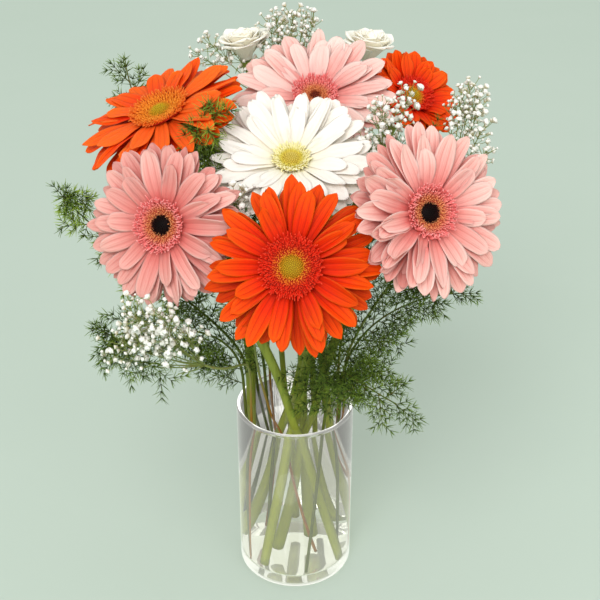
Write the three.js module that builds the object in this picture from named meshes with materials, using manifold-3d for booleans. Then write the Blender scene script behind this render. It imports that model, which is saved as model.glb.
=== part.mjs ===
// Gerberas, two white roses, asparagus fern and baby's breath in a glass vase of water.
// Millimetres, +Z up. The origin is the middle of the vase's flat underside, and -Y is the front.
import * as THREE from "three";
import { mergeVertices } from "three/addons/utils/BufferGeometryUtils.js";
import Module from "manifold-3d";

const wasm = await Module();
wasm.setup();

// ---------------------------------------------------------------- driving dimensions

const GAP = 0.3; // clearance between two pieces that touch
const VASE = { radius: 45, height: 150, wall: 3, floor: 10, foot: 4, rim: 1, sides: 36 };
const WATER_LEVEL = 145;
const COLLAR = VASE.height + 4; // where a stem's place in the mouth of the vase is given
const STRAIGHT = COLLAR + 20; // the stems are straight up to this height

// Shared form of a gerbera head, in its own frame: +Z is the way it faces, +Y its upper side.
const PETAL = { root: 11, thickness: 0.7, width: 0.116 }; // half its width, as a share of its head's reach
const LAYERS = [
  { petals: 10, offset: 0, height: -1.9, rise: -2.5, reach: 1, stations: [0, 0.38, 0.8, 1] },
  { petals: 10, offset: 18, height: 0, rise: 2.5, reach: 0.97, stations: [0, 0.6, 1] },
  { petals: 10, offset: 36, height: 1.9, rise: 9, reach: 0.78, stations: [0, 0.6, 1] },
];
const HUB = { top: 2.6, bottom: -2.6 };
const CUP = { radius: 9.5, depth: 13 }; // green cup of bracts under the head
const STEM = { radius: 3.4, sides: 6, steps: 12 };
const RING = { sectors: 12, rows: 2, peak: 2, thickness: 1 };

// Each head: middle, facing, petal reach, cup angle and curl of the petals, outer radius of the
// floret ring and the eye, and where the stem's foot and collar stand in the vase. A press bends
// the petals round the clock angle `at`, in degrees, clear of the neighbour that leans on them.
const GERBERAS = [
  {
    name: "orange_front", colour: "orange", middle: [-1, -95, 318], facing: [-0.11, -0.84, 0.53],
    reach: 57, rise: 6, curl: -6, ring: 21, eye: 7.5, foot: [-22, -24], collar: [3, -12], bow: 50,
    presses: [{ at: 5, spread: 75, bend: -20 }, { at: 175, spread: 75, bend: 10 }],
  },
  {
    name: "white_centre", colour: "white", middle: [-2, -8, 353], facing: [0, -0.42, 0.91],
    reach: 58, rise: 12, curl: -4, ring: 13, eye: 6, foot: [8, 16], collar: [6, 8], bow: 70,
    presses: [],
  },
  {
    name: "pink_left", colour: "pink", middle: [-85, -57, 329], facing: [-0.38, -0.83, 0.41],
    reach: 55, rise: 7, curl: -6, ring: 18, eye: 6.5, foot: [32, -18], collar: [-2, -28], bow: 60,
    presses: [{ at: -15, spread: 80, bend: -18 }],
  },
  {
    name: "pink_right", colour: "pink", middle: [86, -60, 339], facing: [0.41, -0.78, 0.48],
    reach: 58, rise: 7, curl: -6, ring: 18, eye: 6.5, foot: [-10, 2], collar: [16, -8], bow: 60,
    presses: [{ at: -165, spread: 80, bend: 24 }],
  },
  {
    name: "pink_top", colour: "pink", middle: [15, 76, 368], facing: [0, -0.47, 0.88],
    reach: 60, rise: 10, curl: -4, ring: 20, eye: 6.5, foot: [35, 6], collar: [24, 4], bow: 80,
    presses: [],
  },
  {
    name: "orange_left", colour: "orange", middle: [-92, 22, 376], facing: [-0.31, -0.23, 0.92],
    reach: 60, rise: 1, curl: -8, ring: 22, eye: 7.5, foot: [-35, 4], collar: [-34, 6], bow: 80,
    presses: [],
  },
  {
    name: "orange_right", colour: "orange", middle: [89, 108, 357], facing: [0.42, -0.52, 0.74],
    reach: 39, rise: 20, curl: 0, ring: 15, eye: 6, foot: [-26, 16], collar: [2, 20], bow: 60,
    presses: [],
  },
];

// A rose: each petal wraps further out and opens wider than the one before.
const ROSE = { petals: 5, height: 27, core: 5.5, turn: 137.5, thickness: 0.8, stem: 2.2, calyx: 6.5 };
const ROSES = [
  { name: "rose_left", middle: [-37, 126, 380], facing: [-0.15, 0, 0.99], foot: [0, 31], collar: [-9, 30], bow: 80 },
  { name: "rose_right", middle: [56, 140, 374], facing: [0.15, 0, 0.99], foot: [18, 30], collar: [14, 33], bow: 80 },
];

// Asparagus fern: a stem through `foot`, `collar` and `bend` to `tip`. Its last part, from the
// share `from` of the length on, carries twigs to both sides, flat across `face`, and each twig
// whorls of needles.
const FERN = { stem: 1.2, twig: 0.6, needle: 9, whorl: 9, sides: 4, steps: 10, angle: 52 };
const FERNS = [
  {
    name: "fern_low_right", foot: [8, -35], collar: [22, -31], bend: [34, -70, 220], tip: [70, -84, 206],
    from: 0.6, twigs: 7, spread: 34, face: [0, -0.6, 0.8],
  },
  {
    name: "fern_right", foot: [27, -12], collar: [34, -14], bend: [62, -30, 256], tip: [108, -50, 274],
    from: 0.62, twigs: 6, spread: 28, face: [0, -0.7, 0.7],
  },
  {
    name: "fern_low_left", foot: [-31, -15], collar: [-38, -8], bend: [-70, -24, 238], tip: [-126, -56, 244],
    from: 0.6, twigs: 6, spread: 28, face: [0, -0.6, 0.8],
  },
  {
    name: "fern_left", foot: [-23, 27], collar: [-36, 14], bend: [-112, -2, 262], tip: [-158, -16, 330],
    from: 0.68, twigs: 6, spread: 24, face: [-0.5, -0.7, 0.5],
  },
  {
    name: "fern_back_left", foot: [-18, 34], collar: [-30, 22], bend: [-112, 96, 290], tip: [-124, 86, 388],
    from: 0.74, twigs: 6, spread: 26, face: [-0.4, -0.8, 0.4],
  },
  {
    name: "fern_centre", foot: [-14, 10], collar: [-22, 6], bend: [-54, 26, 330], tip: [-60, 5, 368],
    from: 0.88, twigs: 4, spread: 15, face: [0.3, -0.7, 0.6],
  },
  {
    name: "fern_back", foot: [10, 36], collar: [4, 36], bend: [10, 112, 250], tip: [12, 150, 330],
    from: 0.6, twigs: 6, spread: 32, face: [0, 0.8, 0.6],
  },
];

// Baby's breath: a stem through `foot` and `collar` to `fork`, whence branches run to `heads`, each
// with whorls of short stalks that end in a floret.
const BREATH = { stem: 1, branch: 0.6, stalk: 0.45, floret: 2.8, stalkLength: 12, whorls: [12, 5], sides: 4, steps: 8 };
const SPRAYS = [
  {
    name: "babys_breath_low_left", foot: [-33, -20], collar: [-33, -18], fork: [-62, -66, 226],
    heads: [[-114, -84, 254], [-95, -88, 274], [-88, -84, 244], [-70, -90, 262], [-106, -76, 232]],
  },
  {
    name: "babys_breath_back_left", foot: [-14, 24], collar: [-20, 32], fork: [-8, 118, 345],
    heads: [[-19, 132, 407], [-2, 134, 413], [14, 134, 408], [-64, 118, 396]],
  },
  {
    name: "babys_breath_top_right", foot: [34, 18], collar: [34, 18], fork: [64, 26, 320],
    heads: [[60, 12, 384], [78, 26, 386]],
  },
  {
    name: "babys_breath_right", foot: [37, -4], collar: [38, 6], fork: [112, 44, 300],
    heads: [[122, 68, 372], [134, 66, 364], [138, 40, 340]],
  },
  {
    name: "babys_breath_centre", foot: [12, -4], collar: [-20, -12], fork: [-33, -33, 296],
    heads: [[-38, -58, 348]],
  },
];

const COLOURS = {
  orange: { petals: 0xff4a08, florets: 0xd8330c, eye: 0xa8a02c },
  pink: { petals: 0xf29c98, florets: 0xd8654a, eye: 0x2c0d0c },
  white: { petals: 0xf6f5ee, florets: 0xd9c34a, eye: 0xb8b248 },
  cream: 0xf3ecd8,
  stem: 0x9db069,
  leaf: 0x3f6b2e,
  breath: 0xf2f1ea,
  glass: 0xe8efec,
  water: 0xdfe9e2,
};

// ---------------------------------------------------------------- small tools

const vector = (x, y, z) => new THREE.Vector3(x, y, z);
const radians = THREE.MathUtils.degToRad;
const UP = vector(0, 0, 1);

// A repeatable draw between -1 and 1 for a whole-number seed.
function draw(seed) {
  const value = Math.sin(seed * 12.9898 + 4.1414) * 43758.5453;
  return 2 * (value - Math.floor(value)) - 1;
}

// Two directions across `along`, the second turned a quarter from the first.
function across(along, hint = UP) {
  const first = along.clone().cross(hint);
  if (first.length() < 0.1) first.copy(along).cross(vector(1, 0, 0));
  first.normalize();
  return [first, along.clone().cross(first).normalize()];
}

// A surface in the making: corners, and faces that run anticlockwise seen from outside.
class Shell {
  corners = [];
  faces = [];

  put(point) {
    return this.corners.push(point.x, point.y, point.z) / 3 - 1;
  }

  quad(a, b, c, d) {
    this.faces.push(a, b, c, a, c, d);
  }

  // A pyramid on the four-sided hole a, b, c, d.
  peak(a, b, c, d, tip) {
    const top = this.put(tip);
    this.faces.push(a, b, top, b, c, top, c, d, top, d, a, top);
  }

  // A stalk on a four-sided hole that ends at `tip`, its swellings [[distance back, radius], ...].
  bud(hole, tip, swellings) {
    const middle = this.middle(hole);
    const way = tip.clone().sub(middle).normalize();
    const spokes = hole.map((corner) => this.at(corner).sub(middle).projectOnPlane(way).normalize());
    let last = hole;
    for (const [back, radius] of swellings) {
      const centre = tip.clone().addScaledVector(way, -back);
      const next = spokes.map((spoke) => this.put(centre.clone().addScaledVector(spoke, radius)));
      next.forEach((corner, j) => {
        const k = (j + 1) % next.length;
        this.quad(last[j], last[k], next[k], corner);
      });
      last = next;
    }
    this.peak(...last, tip);
  }

  // The band between two closed circles of corners. cover(j, sides) may close one of its sides in
  // its own way, and returns true where it did.
  band(one, two, cover = () => false) {
    one.forEach((a, j) => {
      const next = (j + 1) % one.length;
      const sides = [a, two[j], two[next], one[next]];
      if (!cover(j, sides)) this.quad(...sides);
    });
  }

  // A fan from a circle of corners to one point.
  close(circle, point, flip = false) {
    const top = this.put(point);
    circle.forEach((a, j) => {
      const b = circle[(j + 1) % circle.length];
      this.faces.push(...(flip ? [b, a, top] : [a, b, top]));
    });
  }

  // A circle of corners round `middle`, from `first` towards `second`.
  circle(middle, first, second, radius, sides, twist = 0) {
    return Array.from({ length: sides }, (_, j) => {
      const angle = twist + (2 * Math.PI * j) / sides;
      const point = middle.clone().addScaledVector(first, radius * Math.cos(angle));
      return this.put(point.addScaledVector(second, radius * Math.sin(angle)));
    });
  }

  at(corner) {
    return new THREE.Vector3().fromArray(this.corners, 3 * corner);
  }

  middle(corners) {
    const sum = corners.reduce((total, corner) => total.add(this.at(corner)), vector(0, 0, 0));
    return sum.divideScalar(corners.length);
  }

  geometry() {
    const geometry = new THREE.BufferGeometry();
    geometry.setAttribute("position", new THREE.Float32BufferAttribute(this.corners, 3));
    return geometry.setIndex(this.faces);
  }
}

// A closed geometry as a manifold solid facing out, its shared corners merged.
function solid(geometry) {
  const bare = geometry.clone();
  bare.deleteAttribute("normal");
  bare.deleteAttribute("uv");
  bare.clearGroups();
  const merged = mergeVertices(bare, 1e-4);
  const index = merged.index.array;
  const corners = merged.attributes.position.array;
  const kept = [];
  let volume = 0;
  for (let i = 0; i < index.length; i += 3) {
    const [p, q, r] = index.subarray(i, i + 3);
    if (p === q || q === r || r === p) continue;
    kept.push([p, q, r]);
    const [a, b, c] = [p, q, r].map((k) => new THREE.Vector3().fromArray(corners, 3 * k));
    volume += a.dot(b.cross(c));
  }
  if (volume < 0) kept.forEach((face) => face.reverse());
  const mesh = new wasm.Mesh({
    numProp: 3,
    vertProperties: new Float32Array(corners),
    triVerts: new Uint32Array(kept.flat()),
  });
  return new wasm.Manifold(mesh);
}

const fuse = (solids) => wasm.Manifold.union(solids);

// A solid as a named mesh with its own finish.
function piece(name, body, color, roughness = 0.6, more = {}) {
  const { vertProperties, triVerts, numProp } = body.getMesh();
  const corners = vertProperties.filter((_, i) => i % numProp < 3);
  const geometry = new THREE.BufferGeometry();
  geometry.setAttribute("position", new THREE.BufferAttribute(corners, 3));
  geometry.setIndex(new THREE.BufferAttribute(triVerts, 1));
  const finish = new THREE.MeshStandardMaterial({ color, roughness, metalness: 0, ...more });
  const mesh = new THREE.Mesh(geometry, finish);
  mesh.name = name;
  return mesh;
}

// A turned solid from [radius, height] pairs.
function turned(profile, sides) {
  const points = profile.map(([radius, height]) => new THREE.Vector2(radius, height));
  return new THREE.LatheGeometry(points, sides).rotateX(Math.PI / 2);
}

// A round bar along a path.
function bar(path, radius, sides, steps) {
  const section = new THREE.Shape();
  for (let i = 0; i < sides; i++) {
    const angle = (2 * Math.PI * i) / sides;
    const corner = [radius * Math.cos(angle), radius * Math.sin(angle)];
    if (i === 0) section.moveTo(...corner);
    else section.lineTo(...corner);
  }
  return new THREE.ExtrudeGeometry(section, { steps, extrudePath: path, bevelEnabled: false });
}

// A blade on a shell. place(u, v) gives a point of its middle surface and the vector from there to
// the upper face, for u along it (0 to 1) and v across it (-1 to 1). Both faces are split alike.
// An open blade has no end at its root and gives the corners round that hole instead.
function blade(shell, stations, columns, place, open = false) {
  const rows = stations.length - 1;
  const [upper, lower] = [1, -1].map((side) =>
    stations.map((u) =>
      Array.from({ length: columns + 1 }, (_, j) => {
        const { point, lift } = place(u, (2 * j) / columns - 1);
        return shell.put(point.addScaledVector(lift, side));
      }),
    ),
  );
  for (let i = 0; i < rows; i++) {
    for (let j = 0; j < columns; j++) {
      shell.quad(upper[i][j], upper[i + 1][j], upper[i + 1][j + 1], upper[i][j + 1]);
      const [a, b, c, d] = [lower[i][j], lower[i + 1][j], lower[i + 1][j + 1], lower[i][j + 1]];
      shell.faces.push(a, c, b, a, d, c);
    }
    shell.quad(upper[i + 1][0], upper[i][0], lower[i][0], lower[i + 1][0]);
    shell.quad(upper[i][columns], upper[i + 1][columns], lower[i + 1][columns], lower[i][columns]);
  }
  for (let j = 0; j < columns; j++) {
    shell.quad(upper[rows][j + 1], upper[rows][j], lower[rows][j], lower[rows][j + 1]);
    if (!open) shell.quad(upper[0][j], upper[0][j + 1], lower[0][j + 1], lower[0][j]);
  }
  return { upper: upper[0], lower: lower[0] };
}

// A closed ring or button turned from a looped profile of [radius, height] pairs, whose first
// bands carry one small pyramid a sector, as florets.
function studded(profile, sectors, bands, peak) {
  const shell = new Shell();
  const [x, y] = [vector(1, 0, 0), vector(0, 1, 0)];
  const circles = profile.map(([radius, height]) =>
    shell.circle(vector(0, 0, height), x, y, radius, sectors),
  );
  circles.forEach((circle, k) => {
    shell.band(circle, circles[(k + 1) % circles.length], (_, sides) => {
      if (k >= bands) return false;
      shell.peak(...sides, shell.middle(sides).addScaledVector(UP, peak));
      return true;
    });
  });
  return shell.geometry();
}

// ---------------------------------------------------------------- the room that pieces take up

const taken = []; // balls that fill the plants made so far

function claim(owner, point, radius) {
  taken.push({ owner, point: point.clone(), radius });
}

function isFree(owner, point, radius) {
  return taken.every((ball) => ball.owner === owner || ball.point.distanceTo(point) > ball.radius + radius);
}

// A shoot grows only where its end and middle are clear of every other plant and of the vase.
function mayGrow(owner, from, to, radius) {
  const middle = from.clone().lerp(to, 0.5);
  const aside = Math.hypot(to.x, to.y) > VASE.radius + 3 || to.z > VASE.height + 3;
  return aside && isFree(owner, to, radius) && isFree(owner, middle, radius);
}

// ---------------------------------------------------------------- vase and water

const inside = VASE.radius - VASE.wall;

function vase() {
  const { radius, height, floor, foot, rim, sides } = VASE;
  const profile = [
    [0, 0],
    [radius - foot, 0],
    [radius - 0.29 * foot, 0.29 * foot],
    [radius, foot],
    [radius, height - rim],
    [radius - rim, height],
    [inside + rim, height],
    [inside, height - rim],
    [inside, floor + foot],
    [inside - 0.29 * foot, floor + 0.29 * foot],
    [inside - foot, floor],
    [0, floor],
  ];
  return piece("vase", solid(turned(profile, sides)), COLOURS.glass, 0.05, { transparent: true, opacity: 0.3 });
}

function water(stems) {
  const { floor, foot, sides } = VASE;
  const wet = inside - GAP;
  const bottom = floor + GAP;
  const profile = [
    [0, bottom],
    [wet - foot, bottom],
    [wet - 0.29 * foot, bottom + 0.29 * foot],
    [wet, bottom + foot],
    [wet, WATER_LEVEL],
    [0, WATER_LEVEL],
  ];
  const holes = stems.map(({ low, mouth, radius, sides: around }) => {
    const drop = low.clone().sub(mouth).normalize().multiplyScalar(4);
    const line = new THREE.LineCurve3(low.clone().add(drop), mouth);
    const room = (radius + GAP) / Math.cos(Math.PI / around);
    return solid(bar(line, room, around, 1));
  });
  const body = solid(turned(profile, sides)).subtract(fuse(holes));
  return piece("water", body, COLOURS.water, 0.02, { transparent: true, opacity: 0.35 });
}

// ---------------------------------------------------------------- stems

const straight = []; // every stem's straight stretch in the vase

// The path of a stem: straight from its foot to the collar, then a bow that leaves in that
// direction and arrives at `end` from `arrival`.
function stemPath(owner, { foot, collar, bow = 40 }, arrival, end, radius, sides) {
  const low = vector(...foot, VASE.floor + GAP + 1);
  const mouth = low.clone().lerp(vector(...collar, COLLAR), (STRAIGHT - low.z) / (COLLAR - low.z));
  const leave = mouth.clone().sub(low).setLength(bow).add(mouth);
  const path = new THREE.CurvePath();
  path.add(new THREE.LineCurve3(low, mouth));
  path.add(new THREE.CubicBezierCurve3(mouth, leave, arrival, end));
  straight.push({ low, mouth, radius, sides });
  path.getSpacedPoints(70).forEach((point) => claim(owner, point, radius + 1));
  return path;
}

// The frame of a head: +Z along `facing`, +Y as far up as it goes.
function headFrame({ facing, middle }) {
  const front = vector(...facing).normalize();
  const right = UP.clone().cross(front).normalize();
  const frame = new THREE.Matrix4().makeBasis(right, front.clone().cross(right), front);
  return frame.setPosition(...middle);
}

// The stem of a head, ending in the green cup under it.
function headStem(owner, head, { radius, sides, steps, cup }) {
  const facing = vector(...head.facing).normalize();
  const middle = vector(...head.middle);
  const end = middle.clone().addScaledVector(facing, cup[0][1] - 2);
  const arrival = end.clone().addScaledVector(facing, -0.6 * head.bow);
  const path = stemPath(owner, head, arrival, end, radius, sides);
  const bracts = turned(cup, 10).applyMatrix4(headFrame(head));
  return fuse([solid(bar(path, radius, sides, steps)), solid(bracts)]);
}

// ---------------------------------------------------------------- gerberas

// How far along and up an arc gets, and its slope there, that starts and ends at given slopes.
function arc(length, start, end, u) {
  const bend = Math.abs(end - start) < 1e-6 ? 1e-6 : end - start;
  const slope = start + bend * u;
  const scale = length / bend;
  return [scale * (Math.sin(slope) - Math.sin(start)), scale * (Math.cos(start) - Math.cos(slope)), slope];
}

// A petal's half width along it, as a share: narrow root, wide shoulder, rounded tip.
function halfWidth(u) {
  const shoulder = 0.6;
  if (u < shoulder) return 0.36 + 0.64 * Math.sin((Math.PI / 2) * (u / shoulder));
  return Math.sqrt(1 - 0.9 * ((u - shoulder) / (1 - shoulder)) ** 2);
}

// The extra bend, in degrees, that the presses give a petal at a clock angle.
function pressAt(presses, turn) {
  return presses.reduce((sum, { at, spread, bend }) => {
    const away = Math.abs(((((turn - at) % 360) + 540) % 360) - 180) / spread;
    return away < 1 ? sum + bend * (1 - away * away) : sum;
  }, 0);
}

// place(u, v) for one ray petal of a head.
function petalPlace(head, layer, index, seed) {
  const turn = layer.offset + (index * 360) / layer.petals;
  const angle = radians(turn + 2 * draw(seed));
  const radial = vector(Math.cos(angle), Math.sin(angle), 0);
  const tangent = vector(-Math.sin(angle), Math.cos(angle), 0);
  const start = radians(head.rise + layer.rise + 0.7 * draw(seed + 1));
  const end = start + radians(head.curl + 2 * draw(seed + 2) + pressAt(head.presses, turn));
  const length = head.reach * layer.reach * (1 + 0.04 * draw(seed + 3)) - PETAL.root;
  return (u, v) => {
    const [along, up, slope] = arc(length, start, end, u);
    const point = radial.clone().multiplyScalar(PETAL.root + along);
    point.addScaledVector(tangent, v * PETAL.width * head.reach * halfWidth(u));
    point.z = layer.height + up;
    const lift = radial.clone().multiplyScalar(-Math.sin(slope));
    lift.z = Math.cos(slope);
    return { point, lift: lift.multiplyScalar(PETAL.thickness / 2) };
  };
}

// The petals of a head in their layers. Their roots are sewn into the hub between them, so the
// whole is one surface.
function petalShell(places) {
  const shell = new Shell();
  let below = null;
  places.forEach((layer, k) => {
    const roots = layer.map((place) => blade(shell, LAYERS[k].stations, 1, place, true));
    const top = roots.flatMap(({ upper }) => upper);
    const bottom = roots.flatMap(({ lower }) => lower);
    for (let i = 1; i < top.length; i += 2) {
      const next = (i + 1) % top.length;
      shell.quad(bottom[i], bottom[next], top[next], top[i]);
    }
    if (below) shell.band(bottom, [...below.slice(1), below[0]]);
    else shell.close(bottom, vector(0, 0, HUB.bottom), true);
    below = top;
  });
  shell.close(below, vector(0, 0, HUB.top));
  return shell;
}

function gerbera(head, order) {
  const { name, ring, eye, rise } = head;
  const frame = headFrame(head);
  const finish = COLOURS[head.colour];
  const places = LAYERS.map((layer, k) =>
    Array.from({ length: layer.petals }, (_, i) => petalPlace(head, layer, i, 1000 * order + 100 * k + 7 * i)),
  );
  for (const place of places.flat())
    for (const u of [0.1, 0.25, 0.4, 0.55, 0.7, 0.82, 0.94])
      for (const v of [-0.7, 0, 0.7]) claim(name, place(u, v).point.applyMatrix4(frame), 3);

  // The ring of florets rises outward just above the innermost petals.
  const slope = Math.tan(radians(rise + 13));
  const under = (radius) => HUB.top + GAP + Math.max(0, radius - 8.5) * slope;
  const inner = eye + 0.5;
  const row = (ring - inner) / RING.rows;
  const face = Array.from({ length: RING.rows + 1 }, (_, k) => inner + k * row);
  const loop = [...face.map((radius) => [radius, under(radius) + RING.thickness]), [ring, under(ring)]];
  if (inner < 8.4) loop.push([8.5, under(8.5)]);
  loop.push([inner, under(inner)]);
  const florets = studded(loop, RING.sectors, RING.rows, RING.peak);
  const seat = HUB.top + GAP;
  const dome = [[0, seat + 2.8], [0.5 * eye, seat + 2.4], [eye, seat + 1.2], [eye, seat], [0, seat]];
  const button = studded(dome, 8, 2, 0.7);

  const group = new THREE.Group();
  group.add(piece(`gerbera_${name}_petals`, solid(petalShell(places).geometry()), finish.petals));
  group.add(piece(`gerbera_${name}_florets`, solid(florets), finish.florets, 0.8));
  group.add(piece(`gerbera_${name}_eye`, solid(button), finish.eye, 0.85));
  group.applyMatrix4(frame);

  const low = HUB.bottom - GAP;
  const cup = [[0, low], [CUP.radius, low], [CUP.radius - 1.2, low - 0.5 * CUP.depth], [0, low - CUP.depth]];
  const stem = headStem(name, head, { ...STEM, cup });
  return [group, piece(`gerbera_${name}_stem`, stem, COLOURS.stem, 0.55)];
}

// ---------------------------------------------------------------- roses

// place(u, v) for one petal of a rose: wrapped round the bud, its lip rolled out further the
// later it comes.
function rosePlace(index, seed) {
  const share = index / (ROSE.petals - 1);
  const turn = radians(ROSE.turn * index + 8 * draw(seed));
  const start = radians(84 - 26 * share);
  const end = radians(80 - 74 * share);
  const spread = radians(56 - 12 * share);
  return (u, v) => {
    const length = ROSE.height * (1 - 0.12 * v * v);
    const [along, up, slope] = arc(length, start, end, u);
    const angle = turn + v * spread;
    const radial = vector(Math.cos(angle), Math.sin(angle), 0);
    const point = radial.clone().multiplyScalar(0.6 * ROSE.core + along);
    point.z = 1.5 + up;
    const lift = radial.multiplyScalar(-Math.sin(slope)).addScaledVector(UP, Math.cos(slope));
    return { point, lift: lift.multiplyScalar(ROSE.thickness / 2) };
  };
}

function rose(flower, order) {
  const { name } = flower;
  const frame = headFrame(flower);
  const { core, height, petals, thickness, calyx } = ROSE;
  const bud = turned([[0, 0], [core, 2.5], [core + 1, 0.55 * height], [0, height]], 8);
  const places = Array.from({ length: petals }, (_, i) => rosePlace(i, 9000 + 50 * order + i));
  const blades = places.map((place) => {
    const shell = new Shell();
    blade(shell, [0, 0.55, 1], 2, place);
    return solid(shell.geometry());
  });
  for (const place of places)
    for (const u of [0.3, 0.6, 0.9])
      for (const v of [-0.8, 0, 0.8]) claim(name, place(u, v).point.applyMatrix4(frame), 4);
  const bloom = piece(`${name}_petals`, fuse([solid(bud), ...blades]), COLOURS.cream, 0.7);
  bloom.applyMatrix4(frame);
  const low = -GAP;
  const cup = [[0, low], [core - 0.5, low], [0.5 * calyx, low - 0.6 * calyx], [0, low - calyx - thickness]];
  const stem = headStem(name, flower, { radius: ROSE.stem, sides: 6, steps: 12, cup });
  return [bloom, piece(`${name}_stem`, stem, COLOURS.stem, 0.6)];
}

// ---------------------------------------------------------------- fern

// A tapering three-sided twig with a whorl of needles every few millimetres.
function needleTwig(owner, from, to, seed) {
  const shell = new Shell();
  const ray = to.clone().sub(from);
  const [along, length] = [ray.clone().normalize(), ray.length()];
  const [x, y] = across(along);
  const whorls = Math.max(2, Math.round(length / FERN.whorl));
  const circle = (distance, twist) => {
    const radius = FERN.twig * (1 - (0.6 * distance) / length);
    return shell.circle(from.clone().addScaledVector(along, distance), x, y, radius, 3, twist);
  };
  let last = circle(0, 0);
  shell.close(last, from);
  for (let k = 1; k <= whorls; k++) {
    const distance = ((k - 0.4) / whorls) * length;
    const start = circle(distance, 0.5 * k);
    const end = circle(distance + 1, 0.5 * k);
    shell.band(last, start);
    const middle = from.clone().addScaledVector(along, distance + 0.5);
    shell.band(start, end, (j, sides) => {
      const root = shell.middle(sides);
      const out = root.clone().sub(middle).normalize();
      const reach = FERN.needle * (1 - (0.3 * k) / whorls) * (1 + 0.15 * draw(seed + 3 * k + j));
      const tip = root.clone().addScaledVector(along, 0.6 * reach).addScaledVector(out, 0.8 * reach);
      if (!mayGrow(owner, root, tip, 0.9)) return false;
      shell.peak(...sides, tip);
      return true;
    });
    last = end;
  }
  shell.close(last, to, true);
  claim(owner, from.clone().lerp(to, 0.35), 2);
  claim(owner, from.clone().lerp(to, 0.7), 2);
  return solid(shell.geometry());
}

function fern(frond, order) {
  const { name, bend, tip, from, twigs, spread } = frond;
  const path = stemPath(name, frond, vector(...bend), vector(...tip), FERN.stem, FERN.sides);
  const spine = path.getSpacedPoints(FERN.steps);
  const solids = [solid(bar(path, FERN.stem, FERN.sides, FERN.steps))];
  const face = vector(...frond.face).normalize();
  for (let i = 0; i <= twigs; i++) {
    const share = i / twigs;
    const seed = 20000 + 500 * order + 40 * i;
    const step = FERN.steps * (from + (1 - from) * 0.97 * share);
    const [back, ahead] = [spine[Math.floor(step)], spine[Math.floor(step) + 1]];
    const at = back.clone().lerp(ahead, step % 1);
    const along = ahead.clone().sub(back).normalize();
    const side = along.clone().cross(face).normalize();
    const turn = radians(FERN.angle) * (i === twigs ? 0 : 1);
    const way = along.clone().multiplyScalar(Math.cos(turn));
    way.addScaledVector(side, (i % 2 ? 1 : -1) * Math.sin(turn)).addScaledVector(face, 0.25 * draw(seed));
    const length = spread * (1 - 0.45 * share) * (1 + 0.12 * draw(seed + 1));
    const fits = [1, 0.7, 0.45].find((part) =>
      mayGrow(name, at, at.clone().addScaledVector(way, part * length), 1.5),
    );
    if (fits) solids.push(needleTwig(name, at, at.clone().addScaledVector(way, fits * length), seed));
  }
  return piece(name, fuse(solids), COLOURS.leaf, 0.7);
}

// ---------------------------------------------------------------- baby's breath

const florets = []; // where every floret of the baby's breath sits

// A floret's place counts as free where it is clear of other plants and of the other florets.
function claimFloret(owner, root, tip) {
  const { floret } = BREATH;
  const spot = tip.clone().lerp(root, (0.6 * floret) / tip.distanceTo(root));
  if (!mayGrow(owner, root, tip, 1) || !isFree(owner, spot, floret)) return false;
  if (florets.some((other) => other.distanceTo(spot) < 2 * floret + 0.4)) return false;
  florets.push(spot);
  claim(owner, spot, floret);
  return true;
}

// A three-sided branch with whorls of stalks near its end, each swelling into a floret.
function floretBranch(owner, from, to, seed) {
  const shell = new Shell();
  const along = to.clone().sub(from).normalize();
  const [x, y] = across(along);
  const { branch, stalk, stalkLength, floret } = BREATH;
  const circle = (back, twist) =>
    shell.circle(to.clone().addScaledVector(along, -back), x, y, branch, 3, twist);
  let last = circle(to.distanceTo(from), 0);
  shell.close(last, from);
  BREATH.whorls.forEach((back, k) => {
    const start = circle(back, 0.5 * k);
    const end = circle(back - 1, 0.5 * k);
    shell.band(last, start);
    const middle = to.clone().addScaledVector(along, 0.5 - back);
    shell.band(start, end, (j, sides) => {
      const root = shell.middle(sides);
      const reach = stalkLength * (1 + 0.2 * draw(seed + 3 * k + j));
      const lean = 0.7 + 0.25 * draw(seed + 10 + 3 * k + j);
      const way = root.clone().sub(middle).normalize().addScaledVector(along, lean).normalize();
      const tip = root.clone().addScaledVector(way, reach);
      if (!claimFloret(owner, root, tip)) return false;
      shell.bud(sides, tip, [[1.1 * floret, stalk], [0.55 * floret, floret]]);
      return true;
    });
    last = end;
  });
  shell.close(last, to, true);
  claim(owner, from.clone().lerp(to, 0.5), branch + 1);
  return solid(shell.geometry());
}

function spray(plant, order) {
  const { name, heads } = plant;
  const fork = vector(...plant.fork);
  const ends = heads.map((head) => vector(...head));
  const middle = ends.reduce((sum, end) => sum.add(end), vector(0, 0, 0)).divideScalar(ends.length);
  const arrival = fork.clone().addScaledVector(middle.sub(fork).normalize(), -35);
  const path = stemPath(name, plant, arrival, fork, BREATH.stem, BREATH.sides);
  const branches = ends.map((end, h) => {
    const root = fork.clone().addScaledVector(end.clone().sub(fork).normalize(), -0.4);
    return floretBranch(name, root, end, 40000 + 1000 * order + 50 * h);
  });
  const stem = solid(bar(path, BREATH.stem, BREATH.sides, BREATH.steps));
  return piece(name, fuse([stem, ...branches]), COLOURS.breath, 0.8);
}

// ---------------------------------------------------------------- the bunch

const bunch = new THREE.Group();
bunch.name = "gerberas_in_a_vase";
GERBERAS.forEach((head, order) => bunch.add(...gerbera(head, order)));
ROSES.forEach((flower, order) => bunch.add(...rose(flower, order)));
FERNS.forEach((frond, order) => bunch.add(fern(frond, order)));
SPRAYS.forEach((plant, order) => bunch.add(spray(plant, order)));
bunch.add(vase(), water(straight));

export default bunch;
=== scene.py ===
"""Gerberas, cream roses, asparagus fern and baby's breath in a straight glass vase of water.

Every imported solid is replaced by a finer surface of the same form, in the same place. Lengths are
in millimetres until a surface becomes a mesh, which is in metres, and tables give angles in degrees.
"""

import logging
from dataclasses import dataclass
from enum import Enum
from typing import Callable, Sequence, Union

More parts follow.
